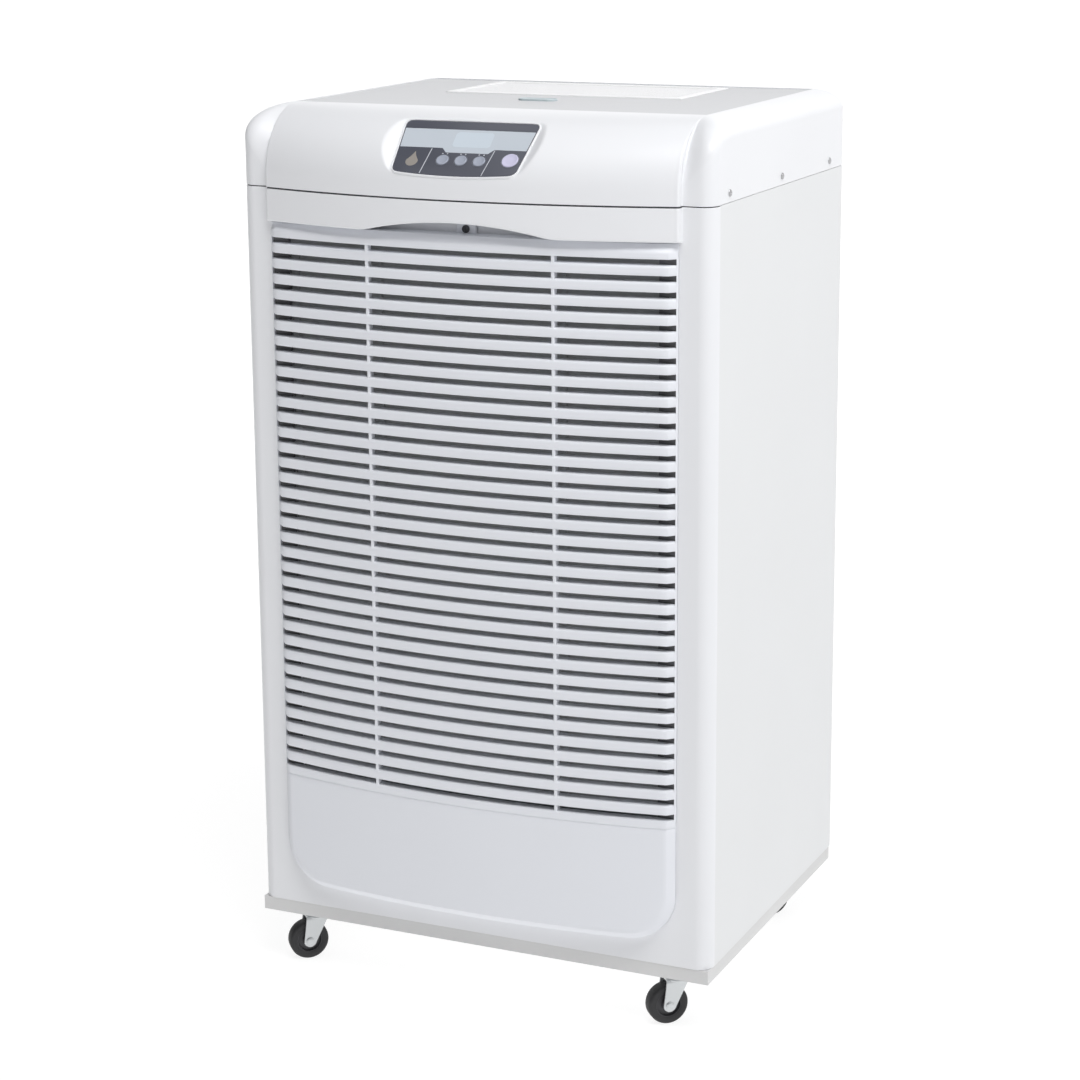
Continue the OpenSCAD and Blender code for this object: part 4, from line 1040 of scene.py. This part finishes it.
def build_screws():
    """Cover screws along both sides, and the rear screws."""
    side = bmesh.new()
    for s in (-1, 1):
        turn = Matrix.Rotation(math.radians(90 * s), 4, "Y")
        for d in (49, 224, 399):
            domed_screw(side, Matrix.Translation(cab(s * CAB_HALF, d, SEAM_Z + 11)) @ turn)
    piece("cover_screw_heads", side, [SCREW], "cabinet", ("cover_screws",), crease=50)
    rear = bmesh.new()
    turn = Matrix.Rotation(math.radians(-90), 4, "X")
    for s in (-1, 1):
        for z in (120, 400, 680, 960):
            domed_screw(rear, Matrix.Translation(cab(s * 291, CAB_BACK, z)) @ turn)
    piece("rear_screw_heads", rear, [SCREW], "cabinet", ("rear_screws",), crease=50)


# ---------------------------------------------------------------- casters

WHEEL_R, WHEEL_HALF, TRAIL, YAW = 25.0, 9.5, 14.0, -48.0
CROWN = (54.5, 58.0)
LEG_X = WHEEL_HALF + 0.7 + 2.0
CASTERS = {"fl": (-245, 42), "fr": (245, 42), "rl": (-245, 408), "rr": (245, 408)}


def fork_reach(z):
    """Front and rear edge of a fork leg at height z, behind the swivel axis being positive."""
    if z < WHEEL_R - 2:
        half = math.sqrt(max(0.02, 64 - (z - WHEEL_R) ** 2))
        return -TRAIL - half, -TRAIL + half
    t = (z - WHEEL_R + 2) / (CROWN[1] - WHEEL_R + 2)
    front = -TRAIL - 7.75 + (-17.5 + TRAIL + 7.75) * t
    rear = -TRAIL + 7.75 + (11 + TRAIL - 7.75) * t
    return front, rear


def build_caster(tag, x, d):
    """Bent sheet fork with its raceway, a rubber tyre on a moulded hub, and the riveted axle."""
    place = Matrix.Translation(cab(x, d, 0)) @ Matrix.Rotation(math.radians(YAW), 4, "Z")
    fork = bmesh.new()
    section = []
    for z in [WHEEL_R - 7.96] + steps(WHEEL_R - 7.5, CROWN[1] - 4.5, 16):
        section.append((LEG_X, z))
    for t in steps(0, 90, 5)[1:]:
        a = math.radians(t)
        section.append((LEG_X - 4 + 4 * math.cos(a), CROWN[1] - 4.5 + 4 * math.sin(a)))
    section.append((LEG_X - 8, CROWN[1] - 0.5))
    whole = section + [(-px, pz) for px, pz in reversed(section)]
    rows = []
    for px, pz in whole:
        front, rear = fork_reach(pz)
        across = steps(front, rear, 8)
        rows.append([place @ Vector((px * MM, py * MM, pz * MM)) for py in across])
    net(fork, rows)
    bmesh.ops.recalc_face_normals(fork, faces=fork.faces)
    fork.normal_update()
    hub = place @ Vector((0, -TRAIL * MM, WHEEL_R * MM))
    if sum((f.calc_center_median() - hub).dot(f.normal) for f in fork.faces) < 0:
        bmesh.ops.reverse_faces(fork, faces=fork.faces)
    piece(f"caster_{tag}_fork", fork, [CASTER], f"swivel_{tag}", (f"caster_fork_{tag}",), solid=1.9 * MM,
          bevel=0.35 * MM, segments=2, direct=True)
    crown = bmesh.new()
    lathe(crown, [(4.3, 54.6), (15.6, 54.6), (16.7, 55.0), (17, 55.8), (16.8, 57.0), (16.0, 57.6),
                  (13.6, 57.9), (11.0, 57.5), (8.5, 57.9), (4.3, 57.9), (4.3, 54.6)], place)
    piece(f"caster_{tag}_raceway", crown, [CASTER], f"swivel_{tag}", crease=40)

    axle_at = Matrix.Translation(Vector((0, -TRAIL * MM, WHEEL_R * MM)))
    along = place @ axle_at @ Matrix.Rotation(math.radians(90), 4, "Y")
    tyre = bmesh.new()
    profile = []
    for t in steps(-90, 90, 12):
        a = math.radians(t)
        side = (t > 0) - (t < 0)
        profile.append((21.2 + 3.8 * math.cos(a), (WHEEL_HALF - 4.6) * side + 3.9 * math.sin(a)))
    rubber = [(16.0, -8.3), (18.0, -8.7)] + profile + [(18.0, 8.7), (16.0, 8.3)]
    lathe(tyre, rubber + rubber[:1], along, 72)
    piece(f"caster_{tag}_tyre", tyre, [RUBBER], f"roller_{tag}", (f"caster_wheel_{tag}",), crease=40)
    centre = bmesh.new()
    web = [(3.1, -9.4), (7.5, -9.4), (8.2, -8.8), (8.6, -5.0), (14.4, -4.4), (15.0, -7.6), (16.3, -8.0)]
    web += [(r, -h) for r, h in reversed(web)]
    lathe(centre, web + web[:1], along, 60)
    piece(f"caster_{tag}_hub", centre, [DARK], f"roller_{tag}", crease=40)
    axle = bmesh.new()
    head = [(0, 14.1), (2.6, 14.1), (4.4, 13.7), (5.0, 13.1), (5.0, 12.3), (2.9, 12.3), (2.9, 0)]
    lathe(axle, head + [(r, -h) for r, h in reversed(head[:-1])], along, 32)
    piece(f"caster_{tag}_pin", axle, [CASTER], f"swivel_{tag}", (f"caster_axle_{tag}",), crease=40)


for row in frame["record"]["subparts"]:
    dress(FINISHES[row["material_slot"]], row["node"])

add_camera()
add_sky()
add_lamps()
add_floor()
build_cover()
build_front_frame()
build_panel()
build_controls()
build_outlet()
build_badge()
build_gasket()
build_screws()
for caster_tag, (caster_x, caster_d) in CASTERS.items():
    build_caster(caster_tag, caster_x, caster_d)
